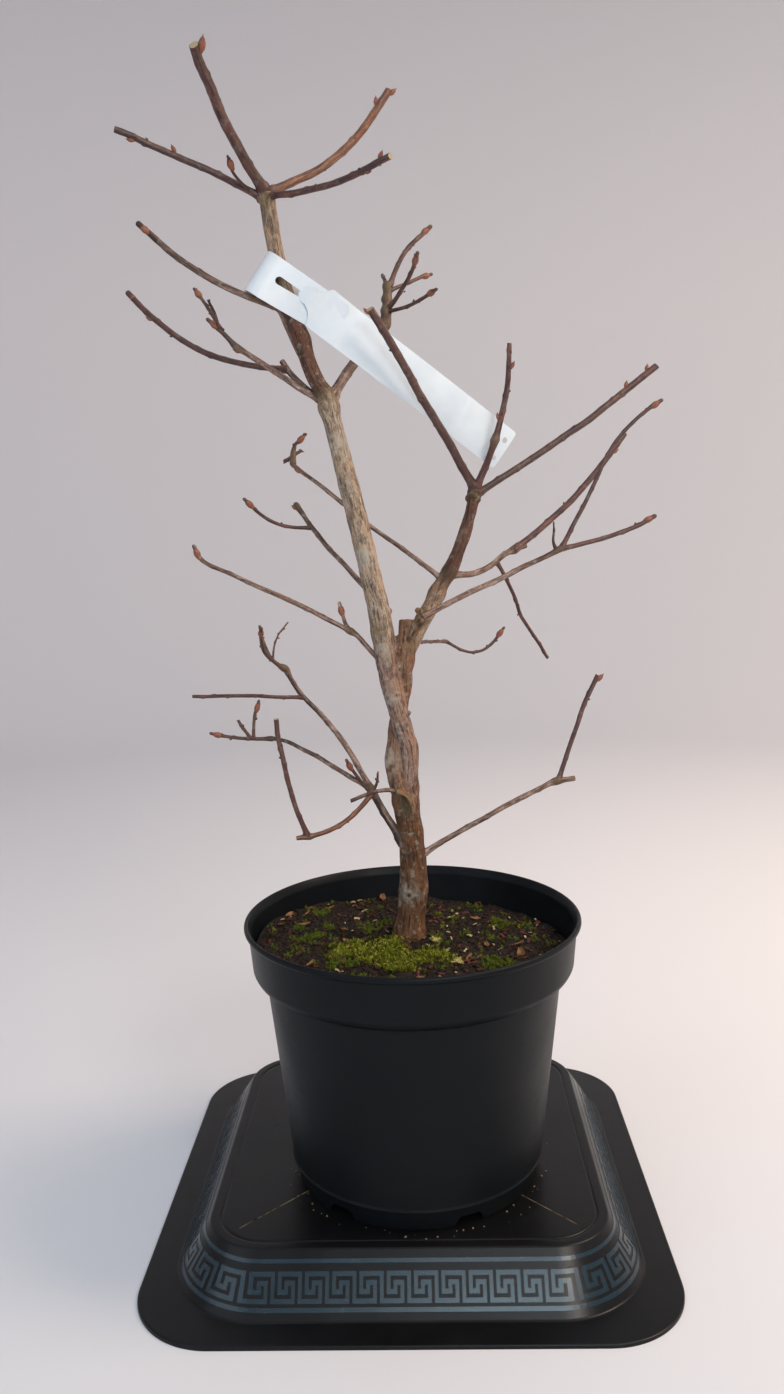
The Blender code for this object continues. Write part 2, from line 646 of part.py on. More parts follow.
def shell(name, other):
    """A limb's own shape, a seat's gap larger all round."""
    points, radii = lines[other]
    wider = [radius + SEAT_GAP * 1.1 for radius in radii]
    if other == "trunk":
        return trunk_skin(name, points, wider)
    run = (points[0] - points[1]).normalized()
    return tube(name, [points[0] + run * SEAT_GAP] + points, wider[:1] + wider,
                ends[other], 2 * radii[0] > STOUT_GIRTH)


def way_out(start, heading, carriers):
    """How far along the heading a point goes before it is outside what carries it."""
    walked = 0.0
    while walked < LONGEST_FOOT and min(skin_distance(start + heading * walked, lines[other])
                                        for other in carriers) < SEAT_GAP:
        walked += 0.5 * MM
    return walked


def with_collar(points, radii, out):
    """Swells a limb where it comes out of the limb that carries it."""
    heading = (points[1] - points[0]).normalized()
    run = np.cumsum([0.0] + [(b - a).length for a, b in zip(points[:-1], points[1:])])
    end = out + COLLAR_LENGTH
    beyond = [k for k, at in enumerate(run) if at > end + 2 * MM]
    kept = [points[0], points[0] + heading * out, points[0] + heading * end]
    girths = [radii[0] * COLLAR_SWELL, radii[0] * COLLAR_SWELL, radii[0]]
    return kept + [points[k] for k in beyond], girths + [radii[k] for k in beyond]


def seated_tube(name, points, radii, end):
    """A limb whose foot is cut to the shape of what carries it, a seat's gap clear."""
    heading = (points[1] - points[0]).normalized()
    probe = [points[0] + heading * at * MM for at in range(0, 30, 3)]
    reach = radii[0] * COLLAR_SWELL + SEAT_GAP
    carriers = [other for other in lines
                if min(skin_distance(point, lines[other]) for point in probe) < reach]
    line = with_collar(points, radii, way_out(points[0], heading, carriers))
    made = tube(name, *line, end, 2 * line[1][0] > STOUT_GIRTH)
    cutters = []
    for other in carriers:
        cutter = shell(f"{name}_on_{other}", other)
        seat = made.modifiers.new("seat_" + other, "BOOLEAN")
        seat.operation = "DIFFERENCE"
        seat.object = cutter
        seat.solver = "EXACT"
        cutters.append(cutter)
    made = baked(made)
    largest_body(made)
    for cutter in cutters:
        bpy.data.objects.remove(cutter, do_unlink=True)
    lines[name] = line
    ends[name] = end
    return made


def side_growth(name, line, share, length, width, spread, flat_end):
    """A bud or spur that stands out of a limb at a share of its length."""
    point, heading = place_on(line, abs(share))
    out = Vector((-heading.z, 0, heading.x)).normalized() * math.copysign(1, share)
    out = (out - heading * out.dot(heading)).normalized()
    aim = (heading * math.cos(spread) + out * math.sin(spread)).normalized()
    tip = point + out * width * 0.3 + aim * length
    points = [point, point.lerp(tip, 0.5), point.lerp(tip, 0.8), tip]
    widths = (0.8, 0.9, 0.9, 0.9) if flat_end else (0.7, 1.0, 0.66, 0.12)
    return tube(name, points, [width / 2 * w for w in widths], "cut", False)


def growths_of(name, line, spec):
    """The buds and spurs that a limb carries on its sides."""
    made = []
    for k, share in enumerate(spec.get("buds", [])):
        made.append(side_growth(f"{name}_bud_{k}", line, share, BUD_LENGTH, BUD_WIDTH,
                                BUD_SPREAD, False))
    for k, share in enumerate(spec.get("spurs", [])):
        made.append(side_growth(f"{name}_spur_{k}", line, share, SPUR_LENGTH, SPUR_WIDTH,
                                1.3 * BUD_SPREAD, True))
    return made


def build_limb(name, spec, material):
    """One bough or shoot, seated on the limb that carries it."""
    foot, _ = place_on(lines[spec["on"]], spec["at"])
    pieces = [seated_tube(name, *limb_line(foot, spec), spec["end"])]
    return joined(name, pieces + growths_of(name, lines[name], spec), material)


def build_twigs(name, specs, material):
    """A mass of twigs: a stem seated on its bough, with the other twigs fused to it."""
    stem = specs[0]
    foot, _ = place_on(lines[stem["on"]], stem["at"])
    pieces = [seated_tube(name, *limb_line(foot, stem), stem["end"])]
    for k, spec in enumerate(specs[1:], 1):
        start, _ = place_on(lines[name], 0.25 + 0.75 * spec["at"])
        twig = limb_line(start, spec)
        pieces.append(tube(f"{name}_{k}", *twig, spec["end"], False))
    return joined(name, pieces, material)


def flat_outline(name, splines, half_depth):
    """A filled flat outline, extruded half its depth each way."""
    curve = bpy.data.curves.new(name, "CURVE")
    curve.dimensions = "2D"
    curve.fill_mode = "BOTH"
    curve.extrude = half_depth
    for outline in splines:
        spline = curve.splines.new("POLY")
        spline.points.add(len(outline) - 1)
        spline.use_cyclic_u = True
        for place, (x, y) in zip(spline.points, outline):
            place.co = (x, y, 0, 1)
    return baked(add_object(name, curve))


def half_round(radius, depth, steps=10):
    """The fold of the label's loop, from its front wall round to its back wall."""
    angles = [math.pi * k / steps for k in range(steps + 1)]
    return [(LABEL_LOOP_START - radius * math.sin(a), depth - radius * math.cos(a))
            for a in angles]


def capsule(start, end, width, steps=8):
    """A slot's outline along the label."""
    half = width / 2
    points = []
    for k in range(steps + 1):
        angle = -math.pi / 2 + math.pi * k / steps
        points.append((end - half + half * math.cos(angle), half * math.sin(angle)))
    for k in range(steps + 1):
        angle = math.pi / 2 + math.pi * k / steps
        points.append((start + half + half * math.cos(angle), half * math.sin(angle)))
    return points


def build_label(material):
    """A blank strip, looped round the upper leader, drawn along its run and its depth."""
    thick = LABEL_THICKNESS
    wall = LABEL_LOOP_WALL
    radius = LABEL_LOOP_RADIUS
    outside = [(LABEL_LENGTH, thick), (LABEL_LENGTH, 0), *half_round(radius, radius),
               (LABEL_BACK_END, LABEL_BACK_DEPTH + wall), (LABEL_LOOP_END + wall, thick)]
    inside = [(LABEL_LOOP_END - wall, wall), *half_round(radius - wall, radius),
              (LABEL_BACK_END - wall / 2, LABEL_BACK_DEPTH)]
    strip = flat_outline("label", [outside, inside], LABEL_WIDTH / 2)
    slot = flat_outline("label_slot", [capsule(*LABEL_SLOT, LABEL_SLOT_WIDTH)], 2 * MM)
    slot.data.transform(Matrix.Rotation(math.pi / 2, 4, "X"))
    holes = []
    for k, across in enumerate((FEED_HOLE_PITCH / 2, -FEED_HOLE_PITCH / 2)):
        bpy.ops.mesh.primitive_cylinder_add(vertices=16, radius=FEED_HOLE_WIDTH / 2, depth=8 * MM)
        hole = bpy.context.object
        hole.name = f"feed_hole_{k}"
        for home in hole.users_collection:
            home.objects.unlink(hole)
        parts.objects.link(hole)
        lie = Matrix.Rotation(math.pi / 2, 4, "X")
        along = LABEL_LENGTH - FEED_HOLE_INSET
        hole.data.transform(Matrix.Translation((along, 0, across + FEED_HOLE_SHIFT)) @ lie)
        holes.append(hole)
    cut(strip, [slot, *holes])
    label = baked(strip)
    label.data.materials.append(material)
    run = LABEL_RUN.normalized()
    rise = (LABEL_RISE - run * LABEL_RISE.dot(run)).normalized()
    backwards = rise.cross(run)
    frame = Matrix((run, backwards, rise)).transposed().to_4x4()
    label.matrix_world = Matrix.Translation(LABEL_FOLD) @ frame
    return label


def settle(rig):
    """Moves the whole so that the origin is the bottom centre of its box."""
    bpy.context.view_layer.update()
    corners = []
    graph = bpy.context.evaluated_depsgraph_get()
    for obj in parts.objects:
        if obj.type == "MESH":
            shape = obj.evaluated_get(graph)
            corners += [shape.matrix_world @ vertex.co for vertex in shape.data.vertices]
    low = [min(point[k] for point in corners) for k in range(3)]
    high = [max(point[k] for point in corners) for k in range(3)]
    rig.location = (-(low[0] + high[0]) / 2, -(low[1] + high[1]) / 2, -low[2])


clear_scene()
parts = new_collection("potted_azalea")
guides = new_collection("cutters")

black_tray = new_material("tray_plastic", (0.018, 0.020, 0.022), 0.35)
black_pot = new_material("pot_plastic", (0.014, 0.016, 0.019), 0.5)
dark_soil = new_material("soil_and_moss", (0.050, 0.038, 0.022), 0.95)
old_bark = new_material("old_bark", (0.30, 0.21, 0.14), 0.85)
young_bark = new_material("young_bark", (0.16, 0.065, 0.05), 0.6)
twig_bark = new_material("twig_bark", (0.19, 0.09, 0.06), 0.65)
white_film = new_material("label_film", (0.86, 0.88, 0.89), 0.45)

OLD_LIMBS = ("leader", "upper_leader", "right_stem", "fork_spur", "inner_bough", "low_bough",
             "mid_right_bough", "left_bough", "left_spur", "low_cut_spur")

lines = {"trunk": trunk_line()}
ends = {}
build_stand(black_tray)
build_pot(black_pot)
build_root_ball(dark_soil)
build_trunk(old_bark)
for limb_name, limb_spec in LIMBS.items():
    build_limb(limb_name, limb_spec, old_bark if limb_name in OLD_LIMBS else young_bark)
for mass_name, twig_specs in TWIG_MASSES.items():
    build_twigs(mass_name, twig_specs, twig_bark)
build_label(white_film)

rig = bpy.data.objects.new("azalea_origin", None)
parts.objects.link(rig)
for piece in list(parts.objects) + list(guides.objects):
    if piece is not rig:
        piece.parent = rig
settle(rig)
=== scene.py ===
# %% [markdown]
# # A potted azalea in winter
#
# The plant is bare: a twisted old trunk, a few boughs, long young shoots and their winter
# buds. It wears a blank loop label, and grows in a black nursery pot that stands on an
# upturned square tray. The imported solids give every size. This script gives the looks.

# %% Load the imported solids
import math

import bmesh
import bpy
import numpy as np
from mathutils import Matrix, Vector


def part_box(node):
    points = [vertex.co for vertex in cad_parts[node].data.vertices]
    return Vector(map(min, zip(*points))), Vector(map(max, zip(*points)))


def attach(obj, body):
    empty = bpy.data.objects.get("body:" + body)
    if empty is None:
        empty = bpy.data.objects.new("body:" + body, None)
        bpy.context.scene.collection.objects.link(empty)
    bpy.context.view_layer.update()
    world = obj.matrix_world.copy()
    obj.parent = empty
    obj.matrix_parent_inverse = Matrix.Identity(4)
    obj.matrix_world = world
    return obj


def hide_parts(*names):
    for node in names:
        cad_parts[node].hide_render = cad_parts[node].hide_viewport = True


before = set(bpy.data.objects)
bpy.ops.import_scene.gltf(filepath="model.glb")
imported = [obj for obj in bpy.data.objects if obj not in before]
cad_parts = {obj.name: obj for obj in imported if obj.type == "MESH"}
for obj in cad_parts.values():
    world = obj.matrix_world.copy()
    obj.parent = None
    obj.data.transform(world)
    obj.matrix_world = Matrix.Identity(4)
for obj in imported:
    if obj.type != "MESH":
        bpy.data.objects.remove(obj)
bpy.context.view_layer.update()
MM = 0.001
pot_low, pot_high = (np.array(corner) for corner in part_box("pot"))
POT_AXIS = np.array([*(pot_low + pot_high)[:2] / 2, 0.0])
print("pot axis in mm:", np.round(POT_AXIS / MM, 2))

# %% Helpers that make meshes and plain colours


def srgb(red, green, blue):
    """A colour as a photograph's 0 to 255 numbers, turned into the linear light of a shader."""
    shares = [value / 255 for value in (red, green, blue)]
    return tuple(s / 12.92 if s < 0.04045 else ((s + 0.055) / 1.055) ** 2.4 for s in shares)


def linked(name, data):
    """A new object that is part of the scene."""
    thing = bpy.data.objects.new(name, data)
    bpy.context.scene.collection.objects.link(thing)
    return thing


def paint(piece, material):
    piece.data.materials.clear()
    piece.data.materials.append(material)


def mesh_piece(name, points, faces, material=None, smooth=True, edges=()):
    """An object at the origin with its place in its mesh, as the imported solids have."""
    data = bpy.data.meshes.new(name)
    data.from_pydata([tuple(p) for p in points], edges, [tuple(f) for f in faces])
    data.update()
    if smooth:
        data.shade_smooth()
    piece = linked(name, data)
    if material:
        paint(piece, material)
    return piece


def read_vectors(items, key="co"):
    """The places of vertices, or other vectors, as rows of an array."""
    values = np.empty(len(items) * 3)
    items.foreach_get(key, values)
    return values.reshape(-1, 3)


def turns_of(sides):
    """Evenly spread angles of a full circle."""
    return np.linspace(0, 2 * math.pi, sides, endpoint=False)


def give_values(piece, name, values):
    """Stores a number or a vector for each vertex, which a material reads by its name."""
    values = np.asarray(values, dtype=np.float32)
    kind, key = ("FLOAT_VECTOR", "vector") if values.ndim == 2 else ("FLOAT", "value")
    layer = piece.data.attributes.new(name, kind, "POINT")
    layer.data.foreach_set(key, values.reshape(-1))


def lattice_noise(points, cell, seed):
    """Smooth noise from -1 to 1, from random numbers on the corners of a cubic lattice."""
    grid = np.asarray(points) / cell
    base = np.floor(grid).astype(np.int64)
    part = grid - base
    part = part * part * (3 - 2 * part)
    total = np.zeros(len(grid))
    for corner in np.ndindex(2, 2, 2):
        key = base + corner
        mixed = key[:, 0] * 73856093 ^ key[:, 1] * 19349663 ^ key[:, 2] * 83492791
        mixed = (mixed ^ seed * 7919) * 1274126177 & 0xFFFFFFFF
        mixed = (mixed ^ mixed >> 15) * 668265263 & 0xFFFFFFFF
        value = (mixed >> 8 & 0xFFFF) / 32767.5 - 1
        share = np.where(corner, part, 1 - part).prod(axis=1)
        total += value * share
    return total


def layered_noise(points, cell, seed, layers=3):
    total = np.zeros(len(points))
    for layer in range(layers):
        total += lattice_noise(points, cell / 2 ** layer, seed + layer) / 2 ** layer
    return total / 1.6


# %% [markdown]
# ## Camera and studio
#
# The photograph was taken from close by, a little above the pot and level with the fork, so
# the tray spreads towards the lens. The camera stands at the same place. Round the object
# lies one pale sheet that curves up into a wall on all sides, so each view has a plain
# ground and no horizon. Soft lamps stand in for a window and a room's lamps.

# %% Put the camera where the photographer stood
CAMERA_PLACE = np.array([-8.9, -665.3, 429.0]) * MM
CAMERA_TILT = 0.1393
CAMERA_ROLL = -0.0270
FOCAL_PIXELS = 1100.3
PHOTO_HEIGHT = 1394


def add_camera():
    """Blender wants the lens in mm, the tilt in radians and a matrix for the turn."""
    forward = Vector((0, math.cos(CAMERA_TILT), -math.sin(CAMERA_TILT)))
    upward = Vector((0, math.sin(CAMERA_TILT), math.cos(CAMERA_TILT)))
    right = Vector((1, 0, 0)) * math.cos(CAMERA_ROLL) + upward * math.sin(CAMERA_ROLL)
    top = upward * math.cos(CAMERA_ROLL) - Vector((1, 0, 0)) * math.sin(CAMERA_ROLL)
    data = bpy.data.cameras.new("photo_camera")
    data.sensor_width = 36
    data.lens = 36 * FOCAL_PIXELS / PHOTO_HEIGHT
    data.clip_start = 0.02
    camera = linked("photo_camera", data)
    turn = Matrix((right, top, -forward)).transposed().to_4x4()
    camera.matrix_world = Matrix.Translation(CAMERA_PLACE + POT_AXIS) @ turn
    bpy.context.scene.camera = camera
    print("lens in mm:", round(data.lens, 2))


add_camera()

# %% [markdown]
# ## The plan of the branches
#
# An azalea makes a whorl of shoots round each old tip, so a branch is a chain of straight
# runs with a swelling at each joint. The table below holds each limb as the solids have it:
# what carries it, how far along, how thick it is and which way each leg goes. Numbers are
# millimetres: right, back, up, then how far the leg's middle bows to the left of its line.

# %% Limbs: what carries each, girths at foot and tip, legs, swellings and buds
TRUNK_STATIONS = [
    (0, -2.2, 21.5), (4, -1.6, 19.4), (15, -0.2, 17.8), (31, 1.4, 18.0), (44, 1.8, 16.4),
    (66, 0.7, 15.6), (83, -2.1, 16.8), (93, -2.6, 16.4), (102, -4.1, 19.4), (111, -4.1, 20.0),
    (122, -3.3, 16.9), (133, -4.6, 13.4), (144, -6.1, 13.9), (156, -6.4, 18.0), (166, -5.6, 21.0),
    (176, -3.4, 18.0), (186, -0.6, 12.6), (199, 1.4, 11.2),
]
TRUNK_FOOT = 185.3 * MM
TRUNK_LEAN_BACK = 4 * MM


def limb(on, at, foot, tip, end, *legs, **marks):
    """A row of the plan: its carrier, how far along, girths, kind of end, legs, and marks."""
    return dict(on=on, at=at, girth=(foot, tip), end=end, legs=legs, **marks)


LIMBS = {
    "leader": limb(
        "trunk", 0.83, 14.4, 10.6, "knob", (-19, -7, 83, 1), (-18, 5, 80, 0), knots=[0.27]),
    "upper_leader": limb("leader", 1, 9.4, 9.0, "knob", (-13, -2, 33, 2), (-17, -5, 80, 3)),
    "right_stem": limb(
        "trunk", 0.84, 11.4, 6.6, "knob", (23, 11, 39, 0), (10, 4, 17, 1), (18, 5, 51, -2),
        knots=[0.56]),
    "fork_spur": limb("trunk", 0.88, 5.4, 5.2, "knob", (14, -9, 24, 0)),
    "mid_right_bough": limb("fork_spur", 1, 3.2, 3.2, "knob", (85, 12, 38, 0)),
    "top_shoot_front": limb("upper_leader", 1, 6.0, 5.0, "cut", (-26, -72, 49, 3), buds=[-0.95]),
    "top_shoot_right": limb(
        "upper_leader", 1, 4.6, 4.4, "cut", (71, 16, 59, -9.5), buds=[0.88, -0.98]),
    "top_shoot_low_right": limb(
        "upper_leader", 0.99, 3.7, 3.4, "cut", (70, -56, 1, -4.5), buds=[-0.8, 0.92]),
    "top_shoot_left": limb(
        "upper_leader", 0.97, 3.9, 3.5, "cut", (-78, -28, 30, -1), buds=[0.87, -0.62]),
    "top_shoot_small": limb("top_shoot_left", 0.12, 1.9, 1.6, "bud", (-9, -20, 12, 2)),
    "upper_left_shoot": limb(
        "leader", 0.94, 4.1, 3.5, "bud", (-9, 10, 20, 0), (-18, -10, 41, 1), (-77, -15, 45, 6)),
    "inner_bough": limb("leader", 0.98, 5.9, 5.6, "knob", (35, 28, 50, 2)),
    "left_bough": limb("leader", 0.975, 3.8, 3.0, "knob", (-54, 8, 36, 0), buds=[0.94]),
    "left_spur": limb("leader", 0.985, 3.8, 3.6, "cut", (-27, 12, 26, 3)),
    "left_long_shoot": limb("left_spur", 0.84, 3.6, 3.4, "bud", (-98, 26, 52, 12.5), buds=[0.8]),
    "inner_shoot": limb("right_stem", 1, 5.4, 4.3, "cut", (-61, -50, 98, 0), buds=[0.985]),
    "upright_shoot": limb(
        "right_stem", 1, 4.4, 2.7, "cut", (11, -11, 27, 0), (8, -14, 55, -3), knots=[0.37],
        buds=[-0.84, 0.5]),
    "right_shoot": limb(
        "right_stem", 0.97, 4.3, 4.2, "cut", (116, 20, 77, -2.5), buds=[0.83, 0.95]),
    "back_right_spur": limb(
        "right_stem", 0.55, 4.1, 3.4, "cut", (38, 26, 11, -5), (14, 9, 5, 0), knots=[0.85]),
    "back_right_shoot": limb(
        "back_right_spur", 0.84, 4.0, 3.8, "cut", (77, 27, 74, -4.5), buds=[-0.86]),
    "hanging_shoot": limb(
        "back_right_spur", 0.6, 2.3, 2.1, "cut", (16, 15, -35, 2), (20, 13, -30, 0)),
    "mid_right_shoot": limb("mid_right_bough", 1, 2.6, 2.3, "bud", (25, 2, 49, -1), (36, 2, 37, 4)),
    "outer_right_shoot": limb("mid_right_bough", 1, 2.8, 2.7, "bud", (58, 6, 18, -3)),
    "back_left_bough": limb(
        "right_stem", 0.51, 3.0, 2.2, "knob", (-45, 11, 35, -0.5), (-47, 12, 39, -1), buds=[0.94]),
    "mid_left_bough": limb(
        "leader", 0.28, 3.2, 3.0, "knob", (-42, 42, 46, 1), (-8, 9, 12, 0), buds=[0.97]),
    "mid_left_shoot": limb("mid_left_bough", 0.77, 2.2, 2.1, "bud", (-39, -21, 18, 6)),
    "long_left_shoot": limb(
        "trunk", 0.82, 3.0, 2.5, "bud", (-24, -4, 26, 1), (-84, -14, 44, -1), (-8, -2, 11, 2),
        knots=[0.27]),
    "low_bough": limb("trunk", 0.24, 5.6, 4.6, "knob", (-26, 8, 45, 0)),
    "low_cut_spur": limb("trunk", 0.44, 2.8, 2.5, "cut", (-18, -17, 8, -3), (-15, 2, -6, 0)),
    "low_back_bough": limb("low_bough", 1, 3.4, 3.2, "knob", (-35, 48, 43, -3), (-21, 26, 24, 2)),
    "low_left_shoot": limb("low_back_bough", 0.76, 2.4, 2.2, "cut", (-74, -2, 3, -0.5)),
    "low_left_bough": limb(
        "low_bough", 0.985, 3.1, 2.7, "knob", (-48, 47, 19, -0.5), (-20, 17, 3, -2)),
    "low_front_bough": limb("low_bough", 0.93, 3.1, 2.9, "cut", (-46, -26, -21, 7), knots=[0.88]),
    "low_front_shoot": limb("low_front_bough", 0.88, 3.0, 2.9, "cut", (-15, -11, 74, 3)),
    "low_right_bough": limb(
        "trunk", 0.24, 3.6, 3.2, "cut", (91, 13, 45, 1.5), (12, 1, 1, 0), knots=[0.9]),
    "low_right_shoot": limb(
        "low_right_bough", 0.91, 2.9, 2.7, "cut", (26, 7, 65, 1.5), buds=[-0.95]),
}

# %% Twig masses: the first twig is the stem, the others branch from it
TWIG_MASSES = {
    "inner_twigs": [
        limb("inner_bough", 1, 4.8, 4.4, "cut", (2, 8, 25, 0), knots=[0.3, 0.62, 0.92]),
        limb("stem", 0.55, 2.9, 2.5, "bud", (28, 14, 44, 5)),
        limb("stem", 0.1, 2.8, 2.4, "bud", (19, -24, 27, -3)),
        limb("stem", 0.7, 2.3, 2.1, "bud", (28, 22, 15, 1)),
        limb("stem", 0.05, 2.3, 2.1, "bud", (29, -34, 5, -2)),
        limb("stem", 0.9, 2.2, 2.0, "cut", (-3, 9, 9, 0)),
    ],
    "left_twigs": [
        limb("left_bough", 1, 2.9, 2.4, "bud", (-15, -5, 15, -1)),
        limb("stem", 0.4, 2.2, 1.9, "bud", (-17, 14, 27, -1)),
        limb("stem", 0.5, 1.7, 1.4, "cut", (-4, -12, 14, -1)),
    ],
    "back_left_twigs": [
        limb("back_left_bough", 1, 2.3, 2.0, "bud", (8, 7, 19, 4), knots=[0.05, 0.3]),
        limb("stem", -0.02, 2.0, 2.2, "cut", (-6, 2, -3, 0)),
        limb("stem", 0.02, 1.8, 1.6, "cut", (5, 3, 3, 0)),
    ],
    "back_twig": [
        limb("trunk", 0.915, 2.2, 2.0, "knob", (30, 68, -5, 1)),
        limb("stem", 1, 2.0, 1.9, "bud", (40, 12, 7, -12)),
    ],
    "low_hub_twigs": [
        limb("low_bough", 0.9, 2.3, 2.0, "bud", (-16, -9, 24, 2)),
        limb("stem", -0.25, 1.9, 1.2, "cut", (4, -3, 13, -1.5)),
    ],
    "low_back_twigs": [
        limb("low_back_bough", 1, 2.9, 2.4, "bud", (-12, -34, 31, 7), knots=[0.06]),
        limb("stem", 0.08, 2.3, 2.1, "cut", (-8, 8, 23, 1)),
        limb("stem", 0.05, 1.5, 1.0, "cut", (10, 15, 25, 3)),
    ],
    "low_left_twigs": [
        limb("low_left_bough", 1, 2.5, 2.1, "bud", (-39, -8, 6, 2)),
        limb("stem", 0.1, 2.1, 2.0, "cut", (-9, 6, 12, 0)),
        limb("stem", 0.05, 2.1, 2.0, "bud", (4, 6, 25, 1)),
    ],
}
SPURS = {
    "mid_right_spur": limb(
        "mid_right_bough", 0.97, 2.2, 1.3, "cut", (-3, -1, 5, 0), (1, 0, 12, -0.8)),
    "long_left_spur": limb("long_left_shoot", 0.27, 2.0, 2.0, "bud", (-3, 0, 4, 0), (-3, 0, 13, 0)),
}
print("limbs:", len(LIMBS), "twig masses:", len(TWIG_MASSES), "spurs:", len(SPURS))

# %% Follow each limb from its foot to its tip
LINE_STEP = 9 * MM


def run_along(points):
    """How far along the line each of its points lies."""
    return np.concatenate([[0], np.cumsum(np.linalg.norm(np.diff(points, axis=0), axis=1))])


def trunk_line():
    stations = np.array(TRUNK_STATIONS) * MM
    heights = np.linspace(0, stations[-1, 0], 34)
    side = np.interp(heights, stations[:, 0], stations[:, 1])
    width = np.interp(heights, stations[:, 0], stations[:, 2])
    back = TRUNK_LEAN_BACK * heights / heights[-1] - 2 * MM
    points = np.stack([side, back, heights + TRUNK_FOOT], axis=1) + POT_AXIS
    return points, width / 2


def limb_line(foot, spec):
    """Centre points and radii of a limb, by the same rule as the solids."""
    points = [foot]
    for right, back, up, bow in spec["legs"]:
        start = points[-1]
        reach = np.array([right, back, up]) * MM
        side = np.array([-up, 0, right]) / math.hypot(up, right) * bow * MM
        steps = max(2, round(np.linalg.norm(reach) / LINE_STEP))
        for share in np.arange(1, steps + 1) / steps:
            points.append(start + reach * share + side * math.sin(math.pi * share))
    points = np.array(points)
    run = run_along(points)
    first, last = (girth * MM / 2 for girth in spec["girth"])
    return points, first + (last - first) * run / run[-1]


def places_at(points, run, at):
    """The places, or other rows, where a line has run some way or an array of ways."""
    return np.stack([np.interp(at, run, column) for column in points.T], axis=-1)


def place_on(line, share):
    run = run_along(line[0])
    return places_at(line[0], run, share * run[-1])


lines = {"trunk": trunk_line()}
specs = {}
for limb_name, limb_spec in {**LIMBS, **SPURS}.items():
    lines[limb_name] = limb_line(place_on(lines[limb_spec["on"]], limb_spec["at"]), limb_spec)
    specs[limb_name] = limb_spec
for mass_name, twigs in TWIG_MASSES.items():
    lines[mass_name] = limb_line(place_on(lines[twigs[0]["on"]], twigs[0]["at"]), twigs[0])
    specs[mass_name] = twigs[0]
    for number, twig in enumerate(twigs[1:], 1):
        foot = place_on(lines[mass_name], 0.25 + 0.75 * twig["at"])
        lines[f"{mass_name}_{number}"] = limb_line(foot, twig)
        specs[f"{mass_name}_{number}"] = dict(twig, on=mass_name)
print("length of all wood in mm:", round(sum(run_along(p)[-1] for p, _ in lines.values()) / MM))

# %% [markdown]
# ## Growing a limb's skin
#
# A real shoot isn't a plain tube. Its line wavers, it swells at each node where a leaf sat,
# its foot spreads into the wood that carries it, and its bark has fine wrinkles along it.
# So each limb is a stack of rings. Each ring follows the limb's line, and each point of it
# is pushed in or out by those features. The size of the push is kept for the material, which
# then darkens the cracks, partly as their own colour and partly as painted shade.

# %% Rings round a wavering line


def smoothed(values, width):
    """Rounds the corners of a line and keeps its two ends where they are."""
    width = min(width, (len(values) - 1) // 4)
    if width < 1:
        return values
    offsets = np.arange(-3 * width, 3 * width + 1)
    kernel = np.exp(-0.5 * (offsets / width) ** 2)
    pad = len(offsets) // 2
    start = 2 * values[0] - values[pad:0:-1]
    stop = 2 * values[-1] - values[-2:-pad - 2:-1]
    padded = np.concatenate([start, values, stop])
    kernel /= kernel.sum()
    return np.stack([np.convolve(column, kernel, "valid") for column in padded.T], axis=1)


def ring_frames(centre):
    """For each ring, two directions across the line that turn as little as they can."""
    heading = np.gradient(centre, axis=0)
    heading /= np.linalg.norm(heading, axis=1)[:, None]
    first = np.cross(heading[0], (0.31, 0.87, 0.38))
    across = [first / np.linalg.norm(first)]
    for k in range(1, len(centre)):
        side = across[-1] - heading[k] * (across[-1] @ heading[k])
        across.append(side / np.linalg.norm(side))
    across = np.array(across)
    return heading, across, np.cross(heading, across)


def way_out(name):
    """How far along a limb its centre comes out of the limb that carries it."""
    points, _ = lines[name]
    home_points, home_radii = lines[specs[name]["on"]]
    home_run = run_along(home_points)
    fine = np.linspace(0, home_run[-1], 200)
    home = places_at(home_points, home_run, fine)
    girth = np.interp(fine, home_run, home_radii)
    run = run_along(points)
    for at in np.arange(0, min(run[-1], 36 * MM), 0.5 * MM):
        gaps = np.linalg.norm(home - places_at(points, run, at), axis=1) - girth
        if gaps.min() > 0:
            return at
    return 0.0


# %% Swellings: the collar, the nodes, the growth rings and the end


def node_places(rng, start, stop, pitch):
    """Leaf scars stand in a spiral, closer together towards the tip."""
    places, at, turn = [], start + pitch * rng.uniform(0.3, 0.8), rng.uniform(0, 6.28)
    while at < stop:
        places.append((at, turn))
        closeness = 1 - 0.5 * (at - start) / max(stop - start, 1e-6)
        at += pitch * closeness * rng.uniform(0.8, 1.25)
        turn += 2.4 + rng.uniform(-0.2, 0.2)
    return places


